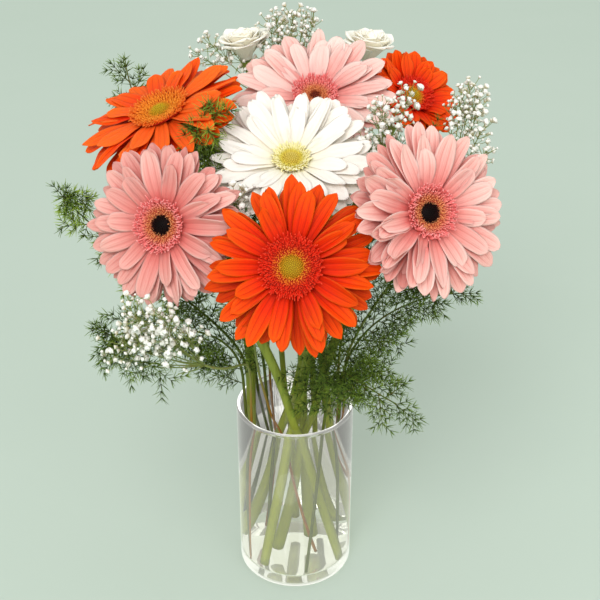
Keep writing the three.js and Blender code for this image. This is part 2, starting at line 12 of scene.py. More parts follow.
import bpy
import numpy as np
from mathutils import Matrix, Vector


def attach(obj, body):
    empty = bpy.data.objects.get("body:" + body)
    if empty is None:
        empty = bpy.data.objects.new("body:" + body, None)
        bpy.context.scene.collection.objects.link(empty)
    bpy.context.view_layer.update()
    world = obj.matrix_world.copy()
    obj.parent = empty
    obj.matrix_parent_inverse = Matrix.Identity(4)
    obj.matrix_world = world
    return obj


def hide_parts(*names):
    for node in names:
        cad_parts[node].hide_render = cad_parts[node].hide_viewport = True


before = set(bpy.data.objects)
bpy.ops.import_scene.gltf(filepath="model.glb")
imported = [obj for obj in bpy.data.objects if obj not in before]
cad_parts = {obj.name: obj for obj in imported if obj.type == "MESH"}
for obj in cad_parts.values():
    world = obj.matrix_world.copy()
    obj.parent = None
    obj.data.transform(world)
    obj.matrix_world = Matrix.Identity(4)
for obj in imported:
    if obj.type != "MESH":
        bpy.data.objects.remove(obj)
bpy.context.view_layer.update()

log = logging.getLogger("gerberas")

Array = np.ndarray
Pair = tuple[float, float]
Point = tuple[float, float, float]
Colour = tuple[float, float, float, float]
Shape = tuple[Array, Array]  # rings (tubes, rows, sides, 3) and end points (tubes, 2, 3)

METRES = 0.001  # one millimetre
UP = np.array([0.0, 0.0, 1.0])
GAP = 0.3  # clearance between two solids that touch
COLLAR = 154.0  # height at which a stem's place in the mouth of the vase is given
STRAIGHT = 174.0  # the stems are straight up to this height
FOOT = 11.3  # height of the stems' cut ends
GOLDEN = np.radians(137.508)  # turn from one floret to the next

# A petal's ring runs from edge to edge over its upper skin, and back under it. Its side is 1 on the
# upper skin, -1 on the lower and 0 at the edges.
UPPER = np.linspace(-1.0, 1.0, 15)
AROUND = np.concatenate([UPPER, UPPER[-2:0:-1]])
SIDE = np.concatenate([[0.0], np.ones(13), [0.0], -np.ones(13)])


# ---------------------------------------------------------------- numbers and directions


def draw(seed: Union[Array, float]) -> Array:
    """Gives repeatable draws between -1 and 1: twice the fraction of a large sine, less one.

    Args:
        seed: a number for each draw.

    Returns:
        The draws, in the shape of the seeds.
    """
    value = np.sin(np.asarray(seed, float) * 12.9898 + 4.1414) * 43758.5453
    return 2.0 * (value - np.floor(value)) - 1.0


def unit(vectors: Array) -> Array:
    """Gives vectors of length one: each divided by the root of its squares' sum."""
    return vectors / np.maximum(np.linalg.norm(vectors, axis=-1, keepdims=True), 1e-9)


def smooth(low: float, high: float, value: Array) -> Array:
    """Gives a soft step: t squared times three less two t, with t from 0 at low to 1 at high."""
    t = np.clip((np.asarray(value, float) - low) / (high - low), 0.0, 1.0)
    return t * t * (3.0 - 2.0 * t)


def each(values: Array, axes: int = 2) -> Array:
    """Gives values with more axes, so that each spreads over the rows and corners of its shape."""
    return values.reshape(values.shape + (1,) * axes)


def polar(radius: Array, angle: Array, height: Array, aside: Union[Array, float] = 0.0) -> Array:
    """Gives points round Z: out by a radius at an angle, and aside a quarter turn on from there.

    Args:
        radius: how far out.
        angle: the angle, from +X.
        height: the height.
        aside: how far aside.

    Returns:
        The points, in the last axis.
    """
    x = radius * np.cos(angle) - aside * np.sin(angle)
    y = radius * np.sin(angle) + aside * np.cos(angle)
    return np.stack(np.broadcast_arrays(x, y, height), axis=-1)


def round_about(ways: Array, angle: Array) -> Array:
    """Gives directions across ways: the cosine of an angle along one of two, the sine along the other.

    Args:
        ways: (n, 3) directions of length one.
        angle: (n, ...) turns about them.

    Returns:
        (n, ..., 3) directions of length one.
    """
    hint = np.where(np.abs(ways[:, 2:]) < 0.85, UP, np.array([1.0, 0.0, 0.0]))
    first = unit(np.cross(hint, ways))
    spread = (len(ways),) + (1,) * (angle.ndim - 1) + (3,)
    first, second = first.reshape(spread), np.cross(ways, first).reshape(spread)
    return first * np.cos(angle)[..., None] + second * np.sin(angle)[..., None]


def golden(count: int, inner: float, outer: float) -> tuple[Array, Array]:
    """Sets places out by the golden turn, at radii whose squares grow evenly.

    Args:
        count: how many.
        inner: radius at which they begin.
        outer: radius at which they end.

    Returns:
        Their radii and angles.
    """
    index = np.arange(count)
    return np.sqrt(inner**2 + (index + 0.5) / count * (outer**2 - inner**2)), GOLDEN * index


def spaced(path: Array, count: int) -> Array:
    """Gives points at even distances along a path, each by its share of the path's length.

    Args:
        path: points of the path, close together.
        count: how many points to give.

    Returns:
        The evenly spaced points.
    """
    run = np.concatenate([[0.0], np.cumsum(np.linalg.norm(np.diff(path, axis=0), axis=1))])
    at = np.linspace(0.0, run[-1], count)
    return np.stack([np.interp(at, run, path[:, k]) for k in range(3)], axis=1)


def on_path(path: Array, at: Array) -> tuple[Array, Array]:
    """Gives places on a path, each its share of the way from one of the path's points to the next.

    Args:
        path: the path's points.
        at: the places, counted in points.

    Returns:
        The places, and the path's directions there.
    """
    low = np.clip(at.astype(int), 0, len(path) - 2)
    step = path[low + 1] - path[low]
    return path[low] + step * (at - low)[:, None], unit(step)


@dataclass(frozen=True)
class Head:
    """Where a bloom is and how it faces: its own +Z is the way it faces, its +Y its upper side."""

    middle: Point
    facing: Point

    def axes(self) -> Array:
        """Gives the bloom's own directions, each across the others.

        Returns:
            Three rows: right, up across its face, and front.
        """
        front = unit(np.array(self.facing))
        right = unit(np.cross(UP, front))
        return np.stack([right, np.cross(front, right), front])

    def place(self, points: Array) -> Array:
        """Puts points of the bloom's own frame in the vase's frame: the middle plus each axis."""
        return points @ self.axes() + np.array(self.middle)


@dataclass(frozen=True)
class Stem:
    """Where a stem stands in the vase and where it passes the mouth, both in plan, and its bow."""

    foot: Pair
    collar: Pair
    bow: float = 40.0  # length of the handle with which its curve begins

    def path(self, arrival: Array, end: Array) -> Array:
        """Gives the stem's middle line: straight past the mouth, then one cubic curve.

        The curve's four corners are weighed by the cubes of t and 1 - t.

        Args:
            arrival: the handle with which it arrives.
            end: where it ends.

        Returns:
            Points of the line, about 2 to 6 mm apart. The curve begins at the 31st.
        """
        low = np.array([*self.foot, FOOT])
        start = low + (np.array([*self.collar, COLLAR]) - low) * (STRAIGHT - FOOT) / (COLLAR - FOOT)
        leave = start + unit(start - low) * self.bow
        straight = low + (start - low) * np.linspace(0.0, 1.0, 31)[:-1, None]
        t = np.linspace(0.0, 1.0, 41)[:, None]
        early = (1 - t) ** 3 * start + 3 * (1 - t) ** 2 * t * leave
        return np.concatenate([straight, early + 3 * (1 - t) * t**2 * arrival + t**3 * end])

    def to_bloom(self, head: Head, seat: float) -> Array:
        """Gives the line to the back of a bloom, which it meets the way the bloom faces.

        Args:
            head: the bloom.
            seat: height of the bloom's underside, in its own frame. The stem ends 2 mm below it.

        Returns:
            Points of the line.
        """
        front = head.axes()[2]
        end = np.array(head.middle) + front * (seat - 2)
        return self.path(end - front * 0.6 * self.bow, end)


# ---------------------------------------------------------------- surfaces


def ring_angles(sides: int) -> Array:
    """Gives the even angles of a ring's corners."""
    return 2 * np.pi * np.arange(sides) / sides


def tubes(paths: Array, radii: Array, sides: int, flat: float = 1.0, ribs: float = 0.0) -> Shape:
    """Carries a ring along each of many paths.

    A ring's corner is the path's point plus the radius times the cosine of its angle along one
    direction across the path, and the radius times the sine, times `flat`, along the other. The
    first direction is the part, across the path, of the axis that the path runs along least.

    Args:
        paths: (tubes, rows, 3) points.
        radii: radii, of a shape that spreads over (tubes, rows).
        sides: corners of a ring.
        flat: thickness of a tube as a share of its width.
        ribs: depth of four ribs along it, as a share of its radius.

    Returns:
        The tubes.
    """
    along = unit(np.gradient(paths, axis=1))
    axis = np.eye(3)[np.abs(along).max(axis=1).argmin(axis=1)][:, None, :]
    first = unit(axis - (axis * along).sum(-1, keepdims=True) * along)
    second = np.cross(along, first)
    angle = ring_angles(sides)[:, None]
    spokes = np.cos(angle) * first[:, :, None] + flat * np.sin(angle) * second[:, :, None]
    spokes = spokes * (1 + ribs * np.sign(np.cos(4 * angle)))
    rings = paths[:, :, None] + each(np.broadcast_to(radii, paths.shape[:2])) * spokes
    return rings, paths[:, [0, -1]]


def turned(profile: Sequence[Sequence[float]], sides: int) -> Shape:
    """Turns a profile of (radius, height) points about Z, from a point on the axis to another.

    Args:
        profile: the points, the first and last of them on the axis.
        sides: corners of a ring.

    Returns:
        The turned surface, as one tube.
    """
    profile = np.asarray(profile, float)
    rings = polar(profile[1:-1, 0, None], ring_angles(sides), profile[1:-1, 1, None])
    ends = np.stack([np.zeros(2), np.zeros(2), profile[[0, -1], 1]], axis=-1)
    return rings[None], ends[None]


def corner(middle: Pair, radius: float, start: float, end: float, count: int) -> Array:
    """Gives (radius, height) points of an arc: its middle plus cosine and sine of its angles.

    Args:
        middle: radius and height of the arc's own middle.
        radius: the arc's radius.
        start: first angle, in degrees.
        end: last angle, in degrees.
        count: how many points.

    Returns:
        (count, 2) points.
    """
    angle = np.radians(np.linspace(start, end, count))
    return np.stack([middle[0] + radius * np.cos(angle), middle[1] + radius * np.sin(angle)], axis=1)


def climbing(slope: Array, u: Array, length: Array) -> Array:
    """Gives how far out and up middle lines run: cosine and sine of their slopes, summed in steps.

    Args:
        slope: (lines, rows) slopes.
        u: (rows,) places along a line, from 0 to 1.
        length: (lines,) lengths.

    Returns:
        Runs and climbs, (2, lines, rows, 1).
    """
    middle = 0.5 * (slope[:, 1:] + slope[:, :-1])
    steps = np.stack([np.cos(middle), np.sin(middle)]) * np.diff(u)
    return each(np.pad(np.cumsum(steps, axis=2), ((0, 0), (0, 0), (1, 0))), 1) * each(length)


def skin(thickness: float) -> Array:
    """Gives a petal's skins over and under its middle, nearer to it by the fourth power outward."""
    return 0.5 * thickness * SIDE * (1 - 0.6 * AROUND**4)


def capped(rings: Array) -> Shape:
    """Gives rings with the middles of their first and last rows as end points."""
    return rings, rings[:, [0, -1]].mean(2)


class Mould:
    """Gathers closed tubes into one mesh. Its points carry four values that finishes read.

    `along` runs from root to tip and `across` from edge to edge of each shape, `tone` differs from one shape
    to the next and on petals also carries painted shade, and `part` says where on the plant it is.
    """

    VALUES = ("along", "across", "tone", "part")

    def __init__(self) -> None:
        """Starts with nothing in the mould."""
        self.points: list[Array] = []
        self.corners: list[Array] = []
        self.sizes: list[Array] = []
        self.paints: list[Array] = []
        self.values: dict[str, list[Array]] = {name: [] for name in self.VALUES}
        self.count = 0

    def add(self, shape: Shape, paint: int = 0, **values: Union[Array, float]) -> None:
        """Adds tubes, each with a fan from its first and last ring to its end points.

        Args:
            shape: the tubes.
            paint: which of the piece's finishes they take.
            values: `along`, `across`, `tone` or `part`, of a shape that spreads over the rings.
        """
        rings, ends = shape
        number, rows, sides = rings.shape[:3]
        last = rows * sides
        self.points.append(np.concatenate([rings.reshape(number, last, 3), ends], axis=1).reshape(-1, 3))
        row, side = np.meshgrid(np.arange(rows - 1) * sides, np.arange(sides), indexing="ij")
        after = (side + 1) % sides
        band = np.stack([row + side, row + after, row + sides + after, row + sides + side], axis=-1)
        j, tip = np.arange(sides), np.full(sides, last)
        k = (j + 1) % sides
        low = np.stack([tip, k, j], axis=-1)
        high = np.stack([last - sides + j, last - sides + k, tip + 1], axis=-1)
        start = self.count + (last + 2) * np.arange(number)[:, None, None]
        for faces in (band.reshape(-1, 4), np.concatenate([low, high])):
            placed = (faces[None] + start).reshape(-1, faces.shape[1])
            self.corners.append(placed.ravel())
            self.sizes.append(np.full(len(placed), faces.shape[1]))
            self.paints.append(np.full(len(placed), paint))
        for name in self.VALUES:
            value = np.broadcast_to(np.asarray(values.get(name, 0.0), float), (number, rows, sides))
            whole = np.concatenate([value.reshape(number, last), value[:, [0, -1]].mean(-1)], axis=1)
            self.values[name].append(whole.ravel())
        self.count += number * (last + 2)

    def strand(self, path: Array, tube: Shape, dry: float, **values: Union[Array, float]) -> None:
        """Adds a stem, whose `part` falls softly from 1 to 0 over the 70 mm below a height.

        Args:
            path: its middle line.
            tube: the stem, a tube along that line.
            dry: that height.
            values: its paint, `along`, `across` and `tone`.
        """
        wet = 1.0 - smooth(dry - 70.0, dry, path[:, 2])[:, None]
        self.add(tube, part=wet, **values)

    def place(self, head: Head) -> None:
        """Moves all that is in the mould from a bloom's own frame to the vase's frame."""
        self.points = [head.place(points) for points in self.points]

    def cast(self, name: str, finishes: Sequence["Finish"]) -> bpy.types.Object:
        """Makes the mesh and its object.

        Args:
            name: the object's name.
            finishes: its finishes, in the order of their paint numbers.

        Returns:
            The object, at the origin, with its place in its mesh.
        """
        mesh = bpy.data.meshes.new(name)
        points = np.concatenate(self.points) * METRES
        corners, sizes = np.concatenate(self.corners), np.concatenate(self.sizes)
        mesh.vertices.add(len(points))
        mesh.vertices.foreach_set("co", points.astype(np.float32).ravel())
        mesh.loops.add(len(corners))
        mesh.loops.foreach_set("vertex_index", corners.astype(np.int32))
        mesh.polygons.add(len(sizes))
        starts = np.concatenate([[0], np.cumsum(sizes)[:-1]])
        mesh.polygons.foreach_set("loop_start", starts.astype(np.int32))
        mesh.polygons.foreach_set("material_index", np.concatenate(self.paints).astype(np.int32))
        mesh.polygons.foreach_set("use_smooth", np.ones(len(sizes), bool))
        mesh.update(calc_edges=True)
        for key, parts in self.values.items():
            layer = mesh.attributes.new(key, "FLOAT", "POINT")
            layer.data.foreach_set("value", np.concatenate(parts).astype(np.float32))
        for finish in finishes:
            mesh.materials.append(finish.make())
        return put(name, mesh)


def put(name: str, data: bpy.types.ID) -> bpy.types.Object:
    """Puts a new object with that mesh, lamp or camera in the scene.

    Args:
        name: the object's name.
        data: what it shows.

    Returns:
        The object.
    """
    made = bpy.data.objects.new(name, data)
    bpy.context.scene.collection.objects.link(made)
    return made


class Crowd:
    """The room that blooms take up, as points, so that ferns and sprays grow round them."""

    BLOCK = 1500  # points looked at together
    VASE = (47.5, 152.0)  # radius and height of the room that the vase takes up

    def __init__(self) -> None:
        """Starts with no blooms."""
        self.parts: list[Array] = []

    def claim(self, points: Array) -> None:
        """Adds points of a bloom."""
        self.parts.append(points.reshape(-1, 3))

    def is_clear(self, points: Array, room: float) -> Array:
        """Says which points are further than `room` from every bloom, and out of the vase.

        Args:
            points: (n, 3) points.
            room: the distance they need.

        Returns:
            (n,) truths.
        """
        blooms = np.concatenate(self.parts)
        radius, height = self.VASE
        clear = (np.hypot(points[:, 0], points[:, 1]) > radius) | (points[:, 2] > height)
        for start in range(0, len(points), self.BLOCK):
            block = points[start : start + self.BLOCK]
            squares = (block**2).sum(1)[:, None] + (blooms**2).sum(1)[None] - 2 * block @ blooms.T
            clear[start : start + self.BLOCK] &= squares.min(1) > room**2
        return clear


# ---------------------------------------------------------------- finishes


def paint(code: str) -> Colour:
    """Gives a colour's linear values from its hexadecimal code, by the usual screen curve.

    Args:
        code: six hexadecimal figures.

    Returns:
        Red, green, blue and 1.
    """
    value = np.array([int(code[k : k + 2], 16) for k in (0, 2, 4)]) / 255
    linear = np.where(value <= 0.04045, value / 12.92, ((value + 0.055) / 1.055) ** 2.4)
    return (*(float(part) for part in linear), 1.0)


def sums(operation: str, swapped: bool = False) -> Callable[..., "Wire"]:
    """Gives a method for wires that adds a Math node on the wire and another value.

    Args:
        operation: what the node does.
        swapped: whether the other value comes first, as in a reflected form.

    Returns:
        The method.
    """

    def method(self: "Wire", other: "Number" = 0.0) -> "Wire":
        """Adds the node and gives its result."""
        one, two = (other, self) if swapped else (self, other)
        return self.recipe.node("ShaderNodeMath", {"operation": operation}, {0: one, 1: two})

    return method


class Wire:
    """A socket of a material. Sums on it add Math nodes."""

    __add__, __radd__ = sums("ADD"), sums("ADD", True)
    __sub__, __rsub__ = sums("SUBTRACT"), sums("SUBTRACT", True)
    __mul__, __rmul__ = sums("MULTIPLY"), sums("MULTIPLY", True)
    __pow__, __rpow__ = sums("POWER"), sums("POWER", True)
    size = sums("ABSOLUTE")  # the value without its sign
    wave = sums("SINE")

    def __init__(self, recipe: "Recipe", socket: bpy.types.NodeSocket) -> None:
        """Keeps the socket and the recipe that it belongs to."""
        self.recipe, self.socket = recipe, socket

    def step(self, low: float, high: float) -> "Wire":
        """Adds a soft step.

        Args:
            low: where it is 0.
            high: where it is 1.

        Returns:
            The step.
        """
        settings = {"interpolation_type": "SMOOTHSTEP"}
        values = {"Value": self, "From Min": low, "From Max": high, "To Min": 0.0, "To Max": 1.0}
        return self.recipe.node("ShaderNodeMapRange", settings, values)


Number = Union[Wire, float]
Tint = Union[Wire, str, Colour]  # a wire, a code or linear values


class Recipe:
    """A material in the making."""

    def __init__(self, name: str) -> None:
        """Starts an empty material.

        Args:
            name: the material's name.
        """
        self.material = bpy.data.materials.new(name)
        self.material.use_nodes = True
        self.tree = self.material.node_tree
        self.tree.nodes.clear()

    def node(self, kind: str, settings: dict, sockets: dict, output: Union[int, str] = 0) -> Wire:
        """Adds a node.

        Args:
            kind: the node's type.
            settings: its properties, set first; `stops` are a ramp's (place, colour) pairs.
            sockets: values or wires of its inputs, by name or number.
            output: which output to give.

        Returns:
            That output.
        """
        made = self.tree.nodes.new(kind)
        for key, value in settings.items():
            if key == "stops":
                band = made.color_ramp.elements
                for _ in range(len(value) - len(band)):
                    band.new(0.5)
                for stop, (place, colour) in zip(band, value):
                    stop.position, stop.color = place, colour
            else:
                setattr(made, key, value)
        for key, value in sockets.items():
            if isinstance(value, Wire):
                self.tree.links.new(value.socket, made.inputs[key])
            else:
                made.inputs[key].default_value = value
        return Wire(self, made.outputs[output])

    def values(self, *names: str) -> list[Wire]:
        """Gives values that a piece's points carry, by their names."""
        return [self.node("ShaderNodeAttribute", {"attribute_name": name}, {}, "Fac") for name in names]

    def grain(self, scale: float, detail: float = 3.0, stretch: Point = (1.0, 1.0, 1.0)) -> Wire:
        """Gives noise fixed to the object.

        Args:
            scale: cells to a metre.
            detail: how many finer octaves.
            stretch: scale along each axis.

        Returns:
            A value round a half.
        """
        place = self.node("ShaderNodeTexCoord", {}, {}, "Object")
        place = self.node("ShaderNodeMapping", {}, {"Vector": place, "Scale": stretch})
        return self.node("ShaderNodeTexNoise", {}, {"Vector": place, "Scale": scale, "Detail": detail}, "Fac")

    def ramp(self, factor: Wire, stops: Sequence[tuple[float, str]]) -> Wire:
        """Gives a colour that runs through (place, code) stops."""
        band = [(place, paint(code)) for place, code in stops]
        return self.node("ShaderNodeValToRGB", {"stops": band}, {"Fac": factor}, "Color")

    def blend(self, factor: Number, one: Tint, two: Tint) -> Wire:
        """Mixes two colours, by how much there is of the second."""
        one, two = (paint(tint) if isinstance(tint, str) else tint for tint in (one, two))
        return self.node("ShaderNodeMix", {"data_type": "RGBA"}, {0: factor, 6: one, 7: two}, 2)

    def bump(self, height: Wire, distance: float, strength: float = 1.0) -> Wire:
        """Gives normals bent by a height, of `distance` metres for a height of 1."""
        return self.node("ShaderNodeBump", {}, {"Height": height, "Distance": distance, "Strength": strength})

    def surface(self, colour: Union[Wire, Colour], roughness: Number, gloss: float, more: dict) -> Wire:
        """Adds the main shader.

        Args:
            colour: its colour.
            roughness: its roughness.
            gloss: how strongly it mirrors, where a half is usual.
            more: values or wires of its other sockets.

        Returns:
            The shader.
        """
        sockets = {"Base Color": colour, "Roughness": roughness, "Specular IOR Level": gloss}
        return self.node("ShaderNodeBsdfPrincipled", {}, {**sockets, **more})

    def done(self, shader: Wire) -> bpy.types.Material:
        """Ends the material.

        Args:
            shader: what its surface shows.

        Returns:
            The material.
        """
        made = self.tree.nodes.new("ShaderNodeOutputMaterial")
        self.tree.links.new(shader.socket, made.inputs["Surface"])
        return self.material


@dataclass(frozen=True)
class Finish:
    """A material by name. Each kind of finish says how its shader is built."""

    name: str

    def make(self) -> bpy.types.Material:
        """Builds the material and gives it."""
        recipe = Recipe(self.name)
        return recipe.done(self.shader(recipe))

    def shader(self, recipe: Recipe) -> Wire:
        """Builds the shader in a recipe."""
        raise NotImplementedError


@dataclass(frozen=True)
class PetalFinish(Finish):
    """A ray petal: a deep root, a paler tip and rim, fine veins, painted shade in its creases, and an
    underside of its own.

    A petal's tone deepens it towards `shade` above 0 and pales it towards `pale` below.
    """

    # root: the deeper colour at the base, partly the petal's own and partly painted shade where it meets the
    # hub
    root: str
    body: str
    tip: str
    rim: str
    vein_and_crease_shade: str
    under: str
    shade: str
    pale: str
    veins: float = 9.0
    vein_and_crease_strength: float = 0.35
    soft: float = 0.3  # how much light spreads inside it

    def shader(self, recipe: Recipe) -> Wire:
        """Builds the shader: colour along the petal, painted shade in the creases, darker veins, satin skin.

        Args:
            recipe: the material's recipe.

        Returns:
            The shader.
        """
        along, over, tone, side = recipe.values("along", "across", "tone", "part")
        mottle = recipe.grain(160.0, 4.0)
        stops = [(0.05, self.root), (0.45, self.body), (0.95, self.tip)]
        colour = recipe.ramp(along + (mottle - 0.5) * 0.25, stops)
        rim = over.size().step(0.72, 1.0) * along.step(0.2, 0.6)
        colour = recipe.blend(rim * 0.6, colour, self.rim)
        # Painted shade in the two creases where the petal's ribs dip, fading towards root and tip.
        crease_shade = ((over.size() - 0.34) * 9.0).size().step(1.0, 0.0)
        fade = along.step(0.02, 0.2) * (1.0 - along.step(0.8, 1.0))
        veins = (over * (np.pi * self.veins) + mottle * 1.5).wave() * 0.5 + 0.5
        # The veins are the petal's own lines; the creases add painted shade to the same colour.
        lines = crease_shade * fade * self.vein_and_crease_strength + (veins**3.0) * (0.46 * self.vein_and_crease_strength)
        colour = recipe.blend(lines, colour, self.vein_and_crease_shade)
        colour = recipe.blend(side.step(0.0, -0.6), colour, self.under)
        colour = recipe.blend(tone * 0.55 + (mottle - 0.5) * 0.2, colour, self.shade)
        colour = recipe.blend(tone * -1.2, colour, self.pale)
        more = {
            "Normal": recipe.bump(veins * 0.6 + recipe.grain(900.0, 2.0) * 0.5, 0.00012, 0.8),
            "Subsurface Weight": self.soft,
            "Subsurface Radius": (1.0, 0.85, 0.8),
            "Subsurface Scale": 0.003,
        }
        return recipe.surface(colour, 0.52 + mottle * 0.12, 0.12, more)


@dataclass(frozen=True)
class FloretFinish(Finish):
    """Florets whose colour changes outward in their ring, and towards their roots and tips."""

    inner: str
    outer: str
    inner_tip: str
    tip: str
    root: str
    tip_from: float = 0.72
    turn_at: float = 0.42  # share of the ring's width where its colour changes

    def shader(self, recipe: Recipe) -> Wire:
        """Builds the shader from each floret's place in the ring and height on it.

        Args:
            recipe: the material's recipe.

        Returns:
            The shader.
        """
        along, tone, part = recipe.values("along", "tone", "part")
        outward = part.step(self.turn_at - 0.25, self.turn_at + 0.25)
        colour = recipe.blend(outward, self.inner, self.outer)
        colour = recipe.blend(1.0 - along.step(0.0, 0.55), colour, self.root)
        tips = recipe.blend(outward, self.inner_tip, self.tip)
        colour = recipe.blend(along.step(self.tip_from, 1.0) * (0.3 + tone * 0.6), colour, tips)
        return recipe.surface(colour, 0.6, 0.25, {"Normal": recipe.bump(recipe.grain(1500.0, 2.0), 0.0001)})


@dataclass(frozen=True)
class EyeFinish(Finish):
    """The tight buds in the middle of a bloom."""

    crown: str
    edge: str
    shade_between_buds: str

    def shader(self, recipe: Recipe) -> Wire:
        """Builds the shader: crown colour inside, edge colour outside, and painted shade towards the buds'
        roots and on the dome between them.

        Args:
            recipe: the material's recipe.

        Returns:
            The shader.
        """
        along, tone, part = recipe.values("along", "tone", "part")
        colour = recipe.blend(part.step(0.3, 1.0), self.crown, self.edge)
        # Painted shade low on the buds and on the dome between them.
        colour = recipe.blend(1.0 - along.step(0.2, 0.75), colour, self.shade_between_buds)
        colour = recipe.blend(tone * 0.25, colour, self.shade_between_buds)
        return recipe.surface(colour, 0.62, 0.2, {"Normal": recipe.bump(recipe.grain(2200.0, 2.0), 0.00012)})


@dataclass(frozen=True)
class GreenFinish(Finish):
    """Stems, twigs and needles: root and tip colours, streaks, and one where their part is 1.

    That part is what stands in water, or a young needle.
    """

    root: str
    tip: str
    streak: str
    part: str
    roughness: float = 0.5
    ridges: float = 0.00025

    def shader(self, recipe: Recipe) -> Wire:
        """Builds the shader: root to tip, streaked along, then the part's own colour.

        Args:
            recipe: the material's recipe.

        Returns:
            The shader.
        """
        along, over, tone, part = recipe.values("along", "across", "tone", "part")
        streaks = recipe.grain(420.0, 4.0, (1.0, 1.0, 0.12))
        colour = recipe.blend(along, self.root, self.tip)
        colour = recipe.blend(streaks.step(0.42, 0.72) * 0.5 + tone * 0.3, colour, self.streak)
        colour = recipe.blend(part, colour, self.part)
        normal = recipe.bump((over * (np.pi * 14.0)).wave() * 0.5 + streaks, self.ridges)
        return recipe.surface(colour, self.roughness + streaks * 0.15, 0.25, {"Normal": normal})


@dataclass(frozen=True)
class ClearFinish(Finish):
    """Glass or water. It bends what is seen through it, and gives out a painted glow, stronger where it is
    seen edge on as a painted highlight.
    """

    bend: float
    tint: str
    edge: float
    painted_glow: float = 0.02  # painted glow: pale light given out all over
    painted_edge_glow: float = 0.02  # painted highlight: more of that light where the surface is seen edge on

    def shader(self, recipe: Recipe) -> Wire:
        """Builds the shader: full transmission, and clear to shadow rays, so light gets in, with a painted
        glow.

        Args:
            recipe: the material's recipe.

        Returns:
            The shader.
        """
        waves = recipe.grain(9.0, 1.0, (1.0, 1.0, 0.4))
        # Painted highlight: the painted glow grows where the surface is seen edge on.
        edge_glow_mask = recipe.node("ShaderNodeLayerWeight", {}, {"Blend": 0.5}, "Facing") ** 3.0
        more = {
            "IOR": self.bend,
            "Transmission Weight": 1.0,
            "Emission Color": recipe.blend(edge_glow_mask, self.pale(self.painted_glow), self.pale(self.painted_edge_glow)),
            "Emission Strength": 1.0,
            "Normal": recipe.bump(waves, self.edge, 0.5),
        }
        solid = recipe.surface(paint(self.tint), 0.0, 0.5, more)
        clear = recipe.node("ShaderNodeBsdfTransparent", {}, {"Color": paint(self.tint)})
        shadow = recipe.node("ShaderNodeLightPath", {}, {}, "Is Shadow Ray")
        return recipe.node("ShaderNodeMixShader", {}, {0: shadow, 1: solid, 2: clear})

    def pale(self, light: float) -> Colour:
        """Gives a warm white of that strength, the colour of the painted glow."""
        return light, 0.99 * light, 0.95 * light, 1.0


@dataclass(frozen=True)
class GroundFinish(Finish):
    """The plain pale floor."""

    colour: str

    def shader(self, recipe: Recipe) -> Wire:
        """Builds the shader: matt, with a very faint grain."""
        colour = recipe.blend(recipe.grain(6.0, 3.0) * 0.04, self.colour, "ffffff")
        return recipe.surface(colour, 0.95, 0.0, {})


# The last two numbers of the glass, and the defaults of the water, are painted glow: all over, and where seen
# edge on.
GLASS = ClearFinish("clear_glass", 1.47, "f8f8f3", 0.0006, 0.045, 0.36)
WATER = ClearFinish("clear_water", 1.333, "fbfcf8", 0.0002)
CREAM = PetalFinish(
    "petals_cream", "f6f0d2", "fff9ea", "fffcf2", "fffdf6", "f2e8d0", "fcf4e0", "f4e8d0", "fffdf6",
    veins=7.0, vein_and_crease_strength=0.05,
)
STEM_GREEN = GreenFinish("flower_stem", "8c963a", "86963a", "56681e", "929a32", 0.5, 0.0001)
# The needles darken towards their roots: partly their own colour, partly painted shade inside the tufts.
NEEDLE_GREEN = GreenFinish("fern_needles", "2c420e", "80a038", "161f06", "aecb48", 0.6, 0.00005)
TWIG_GREEN = GreenFinish("fern_twigs", "465820", "587228", "6b5420", "56601a", 0.55, 0.00008)
PUFF_WHITE = FloretFinish("breath_florets", "fbf8ee", "fbf8ee", "fffdf8", "fffdf8", "b4a878", 0.3)
STALK_GREEN = GreenFinish("breath_stalks", "6a7a3a", "8a9a56", "86703a", "96600c", 0.55, 0.00006)


# ---------------------------------------------------------------- vase and water


